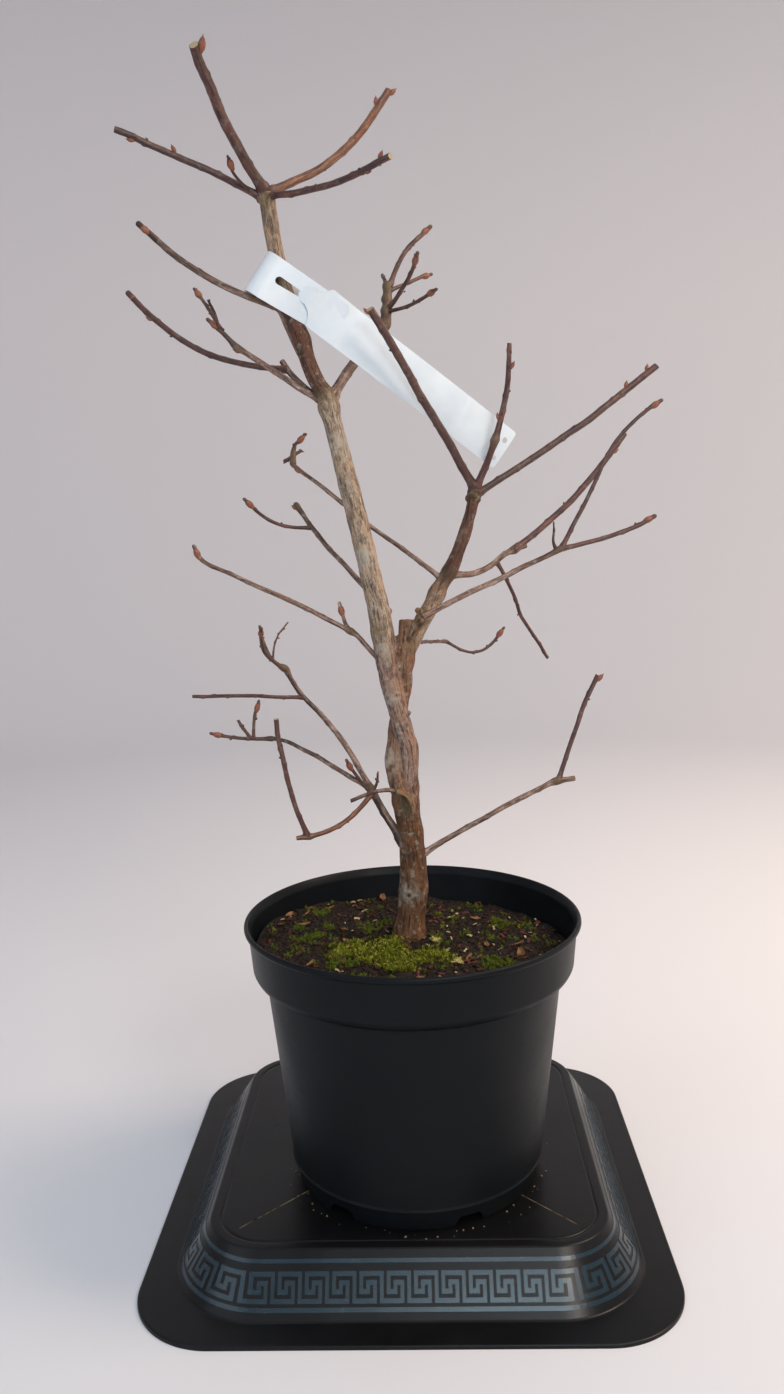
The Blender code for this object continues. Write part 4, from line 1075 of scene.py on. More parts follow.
def make_bud():
    shares = np.array([-0.04, 0.05, 0.2, 0.4, 0.6, 0.8, 0.95, 1.1])
    turns = turns_of(8)[None, :, None]
    girth = bud_girth(shares)[:, None, None]
    rings = np.concatenate([girth * np.cos(turns), girth * np.sin(turns),
                            shares[:, None, None] + 0 * turns], axis=2)
    core, faces, _ = stack_rings(rings, {})
    points = core.tolist()
    for row, (start, count, length, spread) in enumerate(SCALE_ROWS):
        for k in range(count):
            turn = 2 * math.pi * k / count + row * 0.7
            scale_points, scale_faces = bud_scale(start, length, turn, spread * 2.6)
            faces += [tuple(len(points) + v for v in face) for face in scale_faces]
            points += scale_points
    bud = mesh_piece("bud_shape", points, faces)
    give_values(bud, "tip", np.clip((np.array(points)[:, 2] - 0.55) / 0.45, 0, 1))
    bud.hide_render = True
    return bud


bud_shape = make_bud()
print("one bud has", triangles(bud_shape), "triangles")

# %% A tree that sets copies of one shape on marked points


def socket_of(tree, label):
    """The identifier of a tree's input, which a modifier needs in place of its name."""
    return next(item.identifier for item in tree.interface.items_tree if item.name == label)


def new_geometry_tree(name, inputs):
    """A tree that ends in Realize Instances and Set Material, and a way to add its nodes."""
    tree = bpy.data.node_groups.new(name, "GeometryNodeTree")
    add_sockets(tree, "INPUT", [("Geometry", "Geometry", None), *inputs,
                                ("Material", "Material", None)])
    add_sockets(tree, "OUTPUT", [("Geometry", "Geometry", None)])
    given = add_node(tree, "NodeGroupInput").outputs
    realize = add_node(tree, "GeometryNodeRealizeInstances")
    coat = add_node(tree, "GeometryNodeSetMaterial", {
        "Geometry": realize.outputs[0], "Material": given["Material"]})
    add_node(tree, "NodeGroupOutput", {"Geometry": coat.outputs[0]})

    def node(kind, inputs=None, **settings):
        return add_node(tree, "GeometryNode" + kind, inputs, **settings).outputs

    return tree, given, realize, node


def named_value(tree, name, kind="FLOAT"):
    return add_node(tree, "GeometryNodeInputNamedAttribute", {"Name": name},
                    data_type=kind).outputs["Attribute"]


def build_bud_tree():
    tree, given, realize, node = new_geometry_tree("buds_on_points", [
        ("Bud", "Object", None), ("Length", "Float", BUD_LENGTH), ("Slimness", "Float", 1.0),
        ("Seed", "Int", 4)])
    shape = node("ObjectInfo", {"Object": given["Bud"]})
    align = add_node(tree, "FunctionNodeAlignRotationToVector", {
        "Vector": named_value(tree, "aim", "FLOAT_VECTOR")}, axis="Z")
    roll = add_node(tree, "FunctionNodeRandomValue", {
        3: 2 * math.pi, "Seed": given["Seed"]}, data_type="FLOAT")
    spin = add_node(tree, "FunctionNodeAxisAngleToRotation", {
        "Axis": (0, 0, 1), "Angle": roll.outputs[1]})
    turned = add_node(tree, "FunctionNodeRotateRotation", {
        "Rotation": align.outputs[0], "Rotate By": spin.outputs[0]}, rotation_space="LOCAL")
    long = maths(tree, "MULTIPLY", named_value(tree, "size"), given["Length"])
    wide = maths(tree, "MULTIPLY", long, given["Slimness"])
    copies = node("InstanceOnPoints", {
        "Points": given["Geometry"], "Instance": shape["Geometry"],
        "Rotation": turned.outputs[0], "Scale": combined(tree, wide, wide, long)})
    feed(tree, realize, {0: copies[0]})
    return tree


BUD_TREE = build_bud_tree()


def grown_by(tree, carrier, settings):
    """Gives a carrier the tree with its inputs set by identifier, and keeps the plain mesh."""
    modifier = carrier.modifiers.new(tree.name, "NODES")
    modifier.node_group = tree
    for label, value in settings.items():
        modifier[socket_of(tree, label)] = value
    return finished(carrier)


# %% Where buds grow: tips, marked sides and the upper leaf axils
SIDE_SPREAD = math.radians(34)
BUD_SIZES = {"top_shoot_front": 1.05, "top_shoot_right": 0.72, "low_right_shoot": 0.8}


def line_place(name, share):
    points, radii = lines[name]
    run = run_along(points)
    at = share * run[-1]
    here = place_on(lines[name], share)
    ahead = place_on(lines[name], min(1.0, share + 0.02))
    behind = place_on(lines[name], max(0.0, share - 0.02))
    heading = (ahead - behind) / np.linalg.norm(ahead - behind)
    return here, heading, float(np.interp(at, run, radii))


def bud_places():
    """Places, aims and sizes: tips first, then the side buds that the solids carry."""
    rows = []
    for name, spec in specs.items():
        if spec["end"] == "bud":
            points, _ = lines[name]
            heading = points[-1] - points[-2]
            heading /= np.linalg.norm(heading)
            rows.append((points[-1] - heading * (BUD_LENGTH * 1.03), heading, 1.0))
        for share in spec.get("buds", []):
            point, heading, radius = line_place(name, abs(share))
            out = np.array([-heading[2], 0, heading[0]]) * math.copysign(1, share)
            out -= heading * (out @ heading)
            out /= np.linalg.norm(out)
            aim = heading * math.cos(SIDE_SPREAD) + out * math.sin(SIDE_SPREAD) + (0, 0, 0.35)
            rows.append((point + out * radius * 0.7, aim, BUD_SIZES.get(name, 0.62)))
    return rows


def axil_places():
    """Small buds in the spiral of leaf axils near each shoot's end."""
    rows = []
    for name in SHOOTS + AMBER + TWIG_NAMES:
        rng = np.random.default_rng(len(name) * 97 + sum(map(ord, name)))
        turn = rng.uniform(0, 6.28)
        for share in np.arange(0.4, 0.93, 0.13):
            turn += 2.4
            point, heading, radius = line_place(name, share + rng.uniform(-0.03, 0.03))
            side = np.cross(heading, (0.3, 0.8, 0.5))
            side /= np.linalg.norm(side)
            out = side * math.cos(turn) + np.cross(heading, side) * math.sin(turn)
            aim = heading * 0.9 + out * 0.45
            rows.append((point + out * radius * 0.8, aim, rng.uniform(0.17, 0.27)))
    return rows


def buds_at(name, rows, material, slimness, seed):
    places, aims, sizes = zip(*rows)
    carrier = mesh_piece(name, places, [])
    give_values(carrier, "aim", aims)
    give_values(carrier, "size", sizes)
    piece = grown_by(BUD_TREE, carrier, {
        "Bud": bud_shape, "Length": BUD_LENGTH, "Slimness": slimness, "Seed": seed,
        "Material": material})
    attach(piece, "root")
    print(name, "count", len(rows), "triangles", triangles(piece))
    return piece


# %% Bud scales are red-brown and end dark


def bud_material(name, base, tip):
    material, tree, shader = new_material(name, 0.42, 0.4)
    mottle = noise_mask(tree, object_vector(tree), 900, 0.35, 0.7)
    colour = mix_colour(tree, mottle, base, tuple(c * 0.55 for c in base))
    colour = mix_colour(tree, attribute(tree, "tip"), colour, tip)
    feed(tree, shader, {"Base Color": colour})
    return material


bud_red = bud_material("azalea_bud_scales", srgb(156, 96, 70), srgb(106, 52, 50))
axil_brown = bud_material("azalea_axil_buds", srgb(102, 62, 50), srgb(66, 38, 34))
buds_at("azalea_tip_buds", bud_places(), bud_red, 1.0, 4)
buds_at("azalea_axil_buds", axil_places(), axil_brown, 1.15, 9)

# %% [markdown]
# ## The nursery pot
#
# The pot is thin black plastic, turned on one axis: a rolled lip, a straight collar, a
# tapering wall, a stacking ridge and a foot with water notches. A turned outline with each
# corner rounded gives all of it, and six notches are then cut out of the foot.

# %% The pot's outline, turned
TRAY_TOP = 33 * MM
POT_FLOOR = TRAY_TOP + 0.3 * MM
POT_TOP = POT_FLOOR + 165.2 * MM
RIM_RADIUS = 105 * MM
COLLAR_RADIUS = 101 * MM
NECK_RADIUS = 92.3 * MM
BASE_RADIUS = 79.8 * MM
FOOT_RADIUS = 76 * MM
COLLAR_FOOT = POT_TOP - 34 * MM
RIDGE_AT = POT_FLOOR + 14 * MM
POT_WALL = 2.2 * MM
POT_FOOT_DEPTH = 6.5 * MM
POT_SIDES = 192


def pot_outline():
    """Inside floor, inside wall, lip, outside wall, foot: named sizes and mm added to them."""
    under, wall = POT_FLOOR + POT_FOOT_DEPTH, POT_WALL / MM
    rows = [
        (0, 0, under, wall), (FOOT_RADIUS, -0.6, under, wall), (BASE_RADIUS, -wall, RIDGE_AT, 2),
        (NECK_RADIUS, -wall, COLLAR_FOOT, -1), (COLLAR_RADIUS, -3, COLLAR_FOOT, 6),
        (COLLAR_RADIUS, -0.7, POT_TOP, -5), (RIM_RADIUS, -2.7, POT_TOP, -0.8),
        (RIM_RADIUS, -1.6, POT_TOP, 0), (RIM_RADIUS, -0.3, POT_TOP, -0.9),
        (RIM_RADIUS, 0, POT_TOP, -2.8), (RIM_RADIUS, -0.9, POT_TOP, -4.2),
        (COLLAR_RADIUS, 1.3, POT_TOP, -4.6), (COLLAR_RADIUS, -0.8, COLLAR_FOOT, 5.5),
        (COLLAR_RADIUS, -2.6, COLLAR_FOOT, 2), (COLLAR_RADIUS, -6.5, COLLAR_FOOT, 0.2),
        (NECK_RADIUS, 0, COLLAR_FOOT, -1.5), (BASE_RADIUS, 0, RIDGE_AT, 1.2),
        (BASE_RADIUS, 0.8, RIDGE_AT, -0.6), (FOOT_RADIUS, 1.4, RIDGE_AT, -1.5),
        (FOOT_RADIUS, 0, POT_FLOOR, 0), (FOOT_RADIUS, -2.8, POT_FLOOR, 0),
        (FOOT_RADIUS, -2.4, under, 0), (0, 0, under, 0)]
    return np.array([(radius + out * MM, height + up * MM) for radius, out, height, up in rows])


def rounded_line(points, reach, steps=3):
    """Turns each corner of a line into a small arc that starts at most reach away from it."""
    points = np.array(points, dtype=float)
    line = [points[0]]
    for before, corner, after in zip(points[:-2], points[1:-1], points[2:]):
        sides = [before - corner, after - corner]
        lengths = [np.linalg.norm(side) for side in sides]
        start, stop = (corner + side / length * min(reach, 0.4 * length)
                       for side, length in zip(sides, lengths))
        for share in np.linspace(0, 1, steps + 1):
            line.append(start * (1 - share) ** 2 + 2 * corner * share * (1 - share)
                        + stop * share ** 2)
    return np.array(line + [points[-1]])


def turned_piece(name, outline, sides):
    """Turns a radius and height outline round the pot's axis. Its ends lie on the axis."""
    turns = turns_of(sides)[None, :, None]
    ring = outline[1:-1, None, :]
    radius, height = ring[..., :1], ring[..., 1:] + 0 * turns
    rings = np.concatenate([radius * np.cos(turns), radius * np.sin(turns), height], axis=2)
    points, faces, _ = stack_rings(rings + POT_AXIS, {})
    points[-2:, 2] = outline[0, 1], outline[-1, 1]
    return mesh_piece(name, points, faces)


pot = turned_piece("nursery_pot", rounded_line(pot_outline(), 0.9 * MM), POT_SIDES)
print("pot height in mm:", round((POT_TOP - POT_FLOOR) / MM, 1))

# %% Cut the water notches out of the foot
NOTCH_COUNT = 6
NOTCH_TURN = math.radians(-68)
NOTCH_OUTLINE = [(-9.9, -1.0), (-9.2, 1.2), (-6.9, 5.6), (-5.9, 6.2), (5.9, 6.2), (6.9, 5.6),
                 (9.2, 1.2), (9.9, -1.0)]


def notch_cutter(angle):
    """A flat-topped block that lies along the radius, drawn as its outline across and up."""
    out = np.array([math.cos(angle), math.sin(angle), 0])
    side = np.array([-math.sin(angle), math.cos(angle), 0])
    rings = np.array([[out * reach + side * x * MM + (0, 0, POT_FLOOR + z * MM)
                       for x, z in NOTCH_OUTLINE]
                      for reach in (FOOT_RADIUS + 6 * MM, FOOT_RADIUS - 5 * MM)])
    points, faces, _ = stack_rings(rings + POT_AXIS, {})
    return mesh_piece("notch_cutter", points, faces)


def cut_away(piece, cutters):
    """Cuts each cutter out of a piece, then deletes the cutters."""
    for cutter in cutters:
        step = piece.modifiers.new("cut", "BOOLEAN")
        step.operation = "DIFFERENCE"
        step.solver = "EXACT"
        step.object = cutter
    finished(piece)
    for cutter in cutters:
        bpy.data.objects.remove(cutter, do_unlink=True)
    return piece


cut_away(pot, [notch_cutter(NOTCH_TURN + k * 2 * math.pi / NOTCH_COUNT)
               for k in range(NOTCH_COUNT)])


def smooth_by_angle(piece, degrees):
    """Smooth shading, but with sharp edges where two faces meet at more than an angle."""
    bm = bmesh.new()
    bm.from_mesh(piece.data)
    limit = math.radians(degrees)
    for edge in bm.edges:
        edge.smooth = not edge.is_manifold or edge.calc_face_angle(0) < limit
    for face in bm.faces:
        face.smooth = True
    bm.to_mesh(piece.data)
    bm.free()


smooth_by_angle(pot, 34)
print("pot with notches:", triangles(pot), "triangles")

# %% [markdown]
# ## Black plastic
#
# Pot and tray are the same kind of black moulded plastic, but the pot is dull and dusty and
# the tray is satin. Dust, scuffs and wiping marks are one node group with its own values in
# each material: fine noise for dust, and stretched noise for scuffs.

# %% A group for dust and scuffs on black plastic


def build_plastic_group():
    group, start, end = new_group(
        "dusty_plastic",
        [("Vector", "Vector", None), ("Base", "Color", (0, 0, 0, 1)),
         ("Dust", "Color", (1, 1, 1, 1)), ("Dust Amount", "Float", 0.1),
         ("Smooth", "Float", 0.4), ("Worn", "Float", 0.6)],
        [("Color", "Color"), ("Roughness", "Float"), ("Height", "Float")])
    vector, base, dust, dust_amount, smooth, worn = list(start.outputs)[:6]
    haze = noise_mask(group, vector, 24, 0.35, 0.8, 5)
    specks = noise_mask(group, vector, 420, 0.66, 0.74, 2)
    scuffs = noise_mask(group, stretched(group, vector, (1, 1, 4)), 130, 0.60, 0.72, 6)
    amount = maths(group, "MULTIPLY", maths(group, "ADD", haze, specks),
                   dust_amount, use_clamp=True)
    wear = ranged(group, haze, 0, 1, smooth, worn)
    feed(group, end, {
        "Color": mix_colour(group, amount, base, dust),
        "Roughness": maths(group, "MULTIPLY_ADD", scuffs, 0.12, wear),
        "Height": noise_mask(group, vector, 2600, 0.2, 0.8, 2)})
    return group


PLASTIC_GROUP = build_plastic_group()


def plastic_material(name, base, dust, amount, smooth, worn, grain, specular):
    material, tree, shader = new_material(name, specular=specular)
    plastic = add_node(tree, "ShaderNodeGroup", {
        "Vector": object_vector(tree), "Base": (*base, 1), "Dust": (*dust, 1),
        "Dust Amount": amount, "Smooth": smooth, "Worn": worn}, node_tree=PLASTIC_GROUP)
    feed(tree, shader, {"Base Color": plastic.outputs["Color"],
                        "Roughness": plastic.outputs["Roughness"]})
    bump_into(tree, shader, plastic.outputs["Height"], grain, 0.05 * MM)
    return material


pot_plastic = plastic_material("dull_pot_plastic", srgb(14, 17, 20), srgb(96, 98, 98), 0.02,
                               0.36, 0.5, 0.2, 0.12)
tray_plastic = plastic_material("satin_tray_plastic", srgb(14, 14, 16), srgb(84, 84, 84), 0.02,
                                0.28, 0.42, 0.3, 0.24)
# Painted reflection: the frieze's base and dust colours are tinted blue-grey for the cool light
# that its gloss reflects.
frieze_with_painted_reflection = plastic_material("glossy_frieze_plastic", srgb(22, 42, 52), srgb(74, 90, 96),
                                  0.05, 0.2, 0.3, 0.05, 0.5)
paint(pot, pot_plastic)
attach(pot, "root")
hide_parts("pot")

# %% [markdown]
# ## The upturned tray
#
# The stand is a square moulded tray lying upside down: a flange on the floor, a steep wall
# and a flat platform. It is a loft of rounded squares whose corners share one centre, so the
# wall stays even all the way round. The platform has a shallow border and four grooves from
# its corners to the pot.

# %% Loft the tray
FLANGE_HALF, FLANGE_CORNER = 157.5 * MM, 49 * MM
SLOPE_HALF, SLOPE_CORNER = 138 * MM, 54.5 * MM
PLATFORM_HALF, PLATFORM_CORNER = 117.5 * MM, 34 * MM
WALL_TOP_HALF, WALL_TOP_CORNER = PLATFORM_HALF + 0.9 * MM, PLATFORM_CORNER + 0.9 * MM
WALL_FOOT_HALF, WALL_FOOT_CORNER = SLOPE_HALF + 1.5 * MM, SLOPE_CORNER + 1.5 * MM
TRAY_WALL = 2.4 * MM
TRAY_TURN = math.radians(-1.6)
TRAY_AT = POT_AXIS + np.array([-5, 28, 0]) * MM
CORNER_STEPS = 22
BORDER = 4.5 * MM


def rounded_square(half, corner, height, steps=CORNER_STEPS):
    points = []
    for quarter in range(4):
        middle = math.pi / 4 + quarter * math.pi / 2
        centre = np.array([math.cos(middle), math.sin(middle)]) * math.sqrt(2) * (half - corner)
        for angle in np.linspace(middle - math.pi / 4, middle + math.pi / 4, steps):
            points.append((*(centre + np.array([math.cos(angle), math.sin(angle)]) * corner),
                           height))
    return np.array(points)


def tray_to_world(points):
    turn = np.array([[math.cos(TRAY_TURN), -math.sin(TRAY_TURN), 0],
                     [math.sin(TRAY_TURN), math.cos(TRAY_TURN), 0], [0, 0, 1]])
    return np.asarray(points) @ turn.T + TRAY_AT


def tray_profile():
    """Half width, corner radius and height, from the underside's middle out and over."""
    wall, half, corner = TRAY_WALL, PLATFORM_HALF - BORDER, PLATFORM_CORNER - BORDER
    inner = [(30 * MM, 8 * MM, TRAY_TOP - wall),
             (PLATFORM_HALF - wall, PLATFORM_CORNER - wall, TRAY_TOP - wall),
             (SLOPE_HALF - wall, SLOPE_CORNER - wall, 0)]
    outer = [(FLANGE_HALF, FLANGE_CORNER, 0), (FLANGE_HALF, FLANGE_CORNER, wall),
             (WALL_FOOT_HALF, WALL_FOOT_CORNER, wall), (WALL_TOP_HALF, WALL_TOP_CORNER, TRAY_TOP)]
    outer += [(half - inward * MM, corner, TRAY_TOP - down * MM)
              for inward, down in ((0, 0), (0.5, 0.6), (1.2, 0.6), (1.7, 0))]
    outer += [(30 * MM, 8 * MM, TRAY_TOP)]
    return np.concatenate([rounded_line(inner, 1.6 * MM), rounded_line(outer, 1.3 * MM, 4)])


def diagonal_bar(quarter, name, girth, lift):
    """A thin round bar along a platform's diagonal: it cuts a groove, or lies in it as dust."""
    angle = math.pi / 4 + quarter * math.pi / 2 + TRAY_TURN
    start, stop = 74 * MM, (PLATFORM_HALF - 6 * MM) * 1.26
    bm = bmesh.new()
    bmesh.ops.create_cone(bm, cap_ends=True, segments=12, radius1=girth * MM,
                          radius2=girth * MM, depth=stop - start)
    lie = Matrix.Rotation(math.pi / 2, 4, "Y")
    away = Matrix.Translation(((start + stop) / 2, 0, TRAY_TOP + lift * MM))
    bm.transform(Matrix.Translation(TRAY_AT) @ Matrix.Rotation(angle, 4, "Z") @ away @ lie)
    data = bpy.data.meshes.new(name)
    bm.to_mesh(data)
    bm.free()
    return linked(name, data)


tray_points, tray_faces, _ = stack_rings(
    np.array([rounded_square(*row) for row in tray_profile()]), {})
tray = cut_away(mesh_piece("upturned_tray", tray_to_world(tray_points), tray_faces),
                [diagonal_bar(quarter, "groove_cutter", 0.7, 0.25) for quarter in range(4)])
dust_colour, dust_tree, dust_shader = new_material("dust_in_grooves", 0.9, 0.1)
dust_cloud = noise_mask(dust_tree, object_vector(dust_tree), 120, 0.35, 0.6)
feed(dust_tree, dust_shader, {"Base Color": mix_colour(
    dust_tree, dust_cloud, srgb(26, 25, 24), srgb(128, 112, 88))})
for quarter in range(4):
    dust = diagonal_bar(quarter, f"groove_dust_{quarter}", 0.35, -0.22)
    paint(dust, dust_colour)
    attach(dust, "root")
smooth_by_angle(tray, 32)
paint(tray, tray_plastic)
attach(tray, "root")
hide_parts("stand")
print("tray:", triangles(tray), "triangles")

# %% [markdown]
# ## The meander frieze
#
# A traditional meander and two plain lines run round the tray's wall. They are only a hair
# proud and shine where the ground beside them is grained. The key is drawn once as a small
# grid of filled cells. Geometry Nodes line up copies of it on a straight strip, and then bend
# the strip along the wall with Sample Curve.

# %% One key of the meander, as a grid of cells
KEY_ROWS = ["#.######", "#.#.....", "#.#.###.", "#.#.#.#.", "#.###.#.", "#.....#.", "#######."]
KEY_COUNT = 58
KEY_LINE = 0.56
WALL_LENGTH = math.hypot(WALL_FOOT_HALF - WALL_TOP_HALF, TRAY_TOP - TRAY_WALL)
KEY_BAND = (0.315 * WALL_LENGTH, 0.75 * WALL_LENGTH)
PLAIN_BANDS = [(0.145, 0.205), (0.80, 0.865)]
LINE_COUNT = 90
FRIEZE_PROUD = 0.22 * MM


def strip_cells(rows, columns, places_x, places_y, name):
    """A thin block over each filled cell, open towards the wall, from a map of cells."""
    filled = {(r, c) for r, row in enumerate(rows) for c in columns if row[c] == "#"}
    points, faces, seen = [], [], {}

    def corner(r, c, top):
        if (r, c, top) not in seen:
            seen[r, c, top] = len(points)
            points.append((places_x[c], places_y[r], top))
        return seen[r, c, top]

    for r, c in sorted(filled):
        square = [(r + 1, c), (r + 1, c + 1), (r, c + 1), (r, c)]
        faces.append([corner(*spot, 1) for spot in square])
        for k, (down, along) in enumerate(((1, 0), (0, 1), (-1, 0), (0, -1))):
            if (r + down, c + along) not in filled:
                a, b = square[k], square[(k + 1) % 4]
                faces.append([corner(*b, 1), corner(*a, 1), corner(*a, 0), corner(*b, 0)])
    return mesh_piece(name, points, faces, smooth=False)


def alternating(count, total, line_share):
    """Edges of cells that are by turns a line and a gap, over a total length."""
    spans = np.array([line_share if k % 2 == 0 else 1 - line_share for k in range(count)])
    return np.concatenate([[0], np.cumsum(spans)]) / spans.sum() * total


key_rows = -alternating(7, KEY_BAND[1] - KEY_BAND[0], KEY_LINE) - KEY_BAND[0]
key_shape = strip_cells(KEY_ROWS, range(8), alternating(8, 1, KEY_LINE), key_rows, "key_shape")
line_shape = strip_cells(["####"], range(4), np.linspace(0, 1, 5), [0, -1], "line_shape")
for shape in (key_shape, line_shape):
    shape.hide_render = True
print("one key:", triangles(key_shape), "triangles")

# %% The tree that bends a strip of keys round the wall


def build_frieze_tree():
    tree, given, realize, node = new_geometry_tree("frieze_round_the_wall", [
        ("Key", "Object", None), ("Count", "Int", KEY_COUNT), ("Drop", "Float", 0.0),
        ("Height", "Float", 1.0), ("Proud", "Float", FRIEZE_PROUD), ("Turn", "Float", 0.5)])
    curve = node("MeshToCurve", {0: given["Geometry"]})[0]
    length = node("CurveLength", {0: curve})[0]
    pitch = maths(tree, "DIVIDE", length, given["Count"])
    row = node("MeshLine", {"Count": given["Count"], "Offset": combined(tree, pitch)})
    size = combined(tree, pitch, given["Height"], 1)
    shape = node("ObjectInfo", {"Object": given["Key"]})
    copies = node("InstanceOnPoints", {
        "Points": row[0], "Instance": shape["Geometry"], "Scale": size})
    flat = node("RealizeInstances", {0: copies[0]})
    x, y, z = add_node(tree, "ShaderNodeSeparateXYZ", {0: node("InputPosition")[0]}).outputs
    sample = node("SampleCurve", {"Curves": curve, "Length": x}, mode="LENGTH")
    side = vector_maths(tree, "CROSS_PRODUCT", {0: sample["Tangent"], 1: (0, 0, 1)})
    lowered = maths(tree, "SUBTRACT", y, given["Drop"])
    proud = maths(tree, "MULTIPLY", z, given["Proud"])
    laid = add_node(tree, "ShaderNodeVectorRotate", {
        "Vector": combined(tree, proud, lowered), "Angle": given["Turn"]}, rotation_type="Z_AXIS")
    out, up, _ = add_node(tree, "ShaderNodeSeparateXYZ", {0: laid.outputs[0]}).outputs
    rise = combined(tree, 0, 0, up)
    shift = vector_maths(tree, "SCALE", {0: side, "Scale": out})
    moved = vector_maths(tree, "ADD", {0: sample["Position"], 1: shift})
    bend = node("SetPosition", {
        "Geometry": flat[0],
        "Position": vector_maths(tree, "ADD", {0: moved, 1: rise})})
    feed(tree, realize, {0: bend[0]})
    return tree


FRIEZE_TREE = build_frieze_tree()

# %% Lay the frieze on the wall
WALL_FROM_UPRIGHT = math.atan2(WALL_FOOT_HALF - WALL_TOP_HALF, TRAY_TOP - TRAY_WALL)


def frieze_band(name, shape, count, drop, height):
    """The path is the wall's top edge, and the strip hangs down from it."""
    path = tray_to_world(rounded_square(WALL_TOP_HALF, WALL_TOP_CORNER, TRAY_TOP))
    loop = mesh_piece(name, path, [], edges=[(k, (k + 1) % len(path)) for k in range(len(path))])
    return grown_by(FRIEZE_TREE, loop, {
        "Key": shape, "Count": count, "Drop": drop, "Height": height, "Proud": FRIEZE_PROUD,
        "Turn": WALL_FROM_UPRIGHT, "Material": frieze_with_painted_reflection})


bands = [frieze_band("meander", key_shape, KEY_COUNT, 0, 1)]
for number, (top, bottom) in enumerate(PLAIN_BANDS):
    bands.append(frieze_band(f"frieze_line_{number}", line_shape, LINE_COUNT,
                             top * WALL_LENGTH, (bottom - top) * WALL_LENGTH))
for band in bands:
    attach(band, "root")
    print(band.name, triangles(band), "triangles")

# %% [markdown]
# ## Soil
#
# The pot is filled to just under its collar with dark, crumbly compost that has settled
# lower at the back. Its surface is a disc of fine rings whose points are lifted by the same
# rule as the solid, and then by noise of crumb size. It goes on down the pot's inside wall.

# %% Raise the soil's surface
SOIL_LEVEL = 181 * MM
SOIL_AT_TRUNK = 185 * MM
MOUND_AT = np.array([-18, -34]) * MM
SOIL_BRIM = 97.6 * MM


def soil_level(x, y):
    """The solid's own rule: a seat at the trunk, a moss mound, and a drop to the back."""
    radius = np.hypot(x, y)
    level = SOIL_LEVEL - 0.045 * x - 0.045 * y
    level = level + 0.9 * MM * np.sin(90 * x + 1.3) * np.cos(75 * y)
    level = level + 0.6 * MM * np.sin(210 * x - 140 * y)
    away = np.hypot(x - MOUND_AT[0], y - MOUND_AT[1]) / (34 * MM)
    level = level + 4.5 * MM * np.exp(-away * away)
    near = np.clip((radius - 15 * MM) / (14 * MM), 0, 1)
    return SOIL_AT_TRUNK + (level - SOIL_AT_TRUNK) * near * near * (3 - 2 * near)


def soil_surface(sides=240, rings=105):
    """Rings of points from the pot's axis out to the wall, then down the wall."""
    turns = turns_of(sides)[None, :]
    radius = np.linspace(2 * MM, SOIL_BRIM, rings)[:, None]
    x, y = radius * np.cos(turns), radius * np.sin(turns)
    flat = np.stack([x, y, 0 * x], axis=-1)
    crumbs = layered_noise(flat.reshape(-1, 3), 7 * MM, 41, 4).reshape(x.shape)
    grains = np.abs(layered_noise(flat.reshape(-1, 3), 2.4 * MM, 53, 2)).reshape(x.shape)
    calm = np.clip((radius - 6 * MM) / (8 * MM), 0, 1) * np.clip((SOIL_BRIM - radius) / MM, 0, 1)
    top = soil_level(x, y) + (1.6 * crumbs + 1.3 * grains - 0.6) * MM * calm
    below = [(FOOT_RADIUS - 0.6 * MM, POT_FLOOR + POT_FOOT_DEPTH + POT_WALL),
             (BASE_RADIUS - POT_WALL, RIDGE_AT + 2 * MM),
             (NECK_RADIUS - POT_WALL, COLLAR_FOOT - MM), (SOIL_BRIM - 2 * MM, COLLAR_FOOT + 5 * MM)]
    skirt = [[((r - 0.5 * MM) * math.cos(t), (r - 0.5 * MM) * math.sin(t), z + 0.5 * MM)
              for t in turns[0]] for r, z in below]
    return np.concatenate([skirt, np.stack([x, y, top], axis=-1)[::-1]])


compost = mesh_piece("compost", *stack_rings(soil_surface() + POT_AXIS, {})[:2])
print("compost:", triangles(compost), "triangles")

# %% Where moss, litter and bare compost lie
CUSHION_PATCHES = [(-20, -42, 20), (-42, -36, 12), (8, -38, 13), (-14, -20, 12), (-6, -54, 12),
                   (-36, -18, 6)]
CLUMP_PATCHES = [(-27, 20, 6), (-62, -3, 11), (-63, 60, 7), (58, 35, 8), (43, -43, 9),
                 (56, -40, 6), (-18, 38, 5), (-44, -54, 7), (15, -8, 7), (-52, 20, 6),
                 (-74, 14, 6), (34, 14, 5)]
BROWN_MOSS_PATCHES = [(-50, -22, 9), (2, -54, 10), (22, -22, 9), (-28, -8, 9),
                      (30, -38, 7), (-6, -28, 9), (60, 22, 5), (-30, 50, 5)]


def patch_mask(local, patches, seed, edge):
    """1 inside a patch and 0 outside, with an edge that noise breaks up."""
    mask = np.zeros(len(local))
    for x, y, size in patches:
        away = np.hypot(local[:, 0] - x, local[:, 1] - y) / size
        mask = np.maximum(mask, 1.5 - away)
    ragged = lattice_noise(local * (1, 1, 0), 7.0, seed) * edge
    return np.clip((mask + ragged - 0.45) * 2.2, 0, 1)


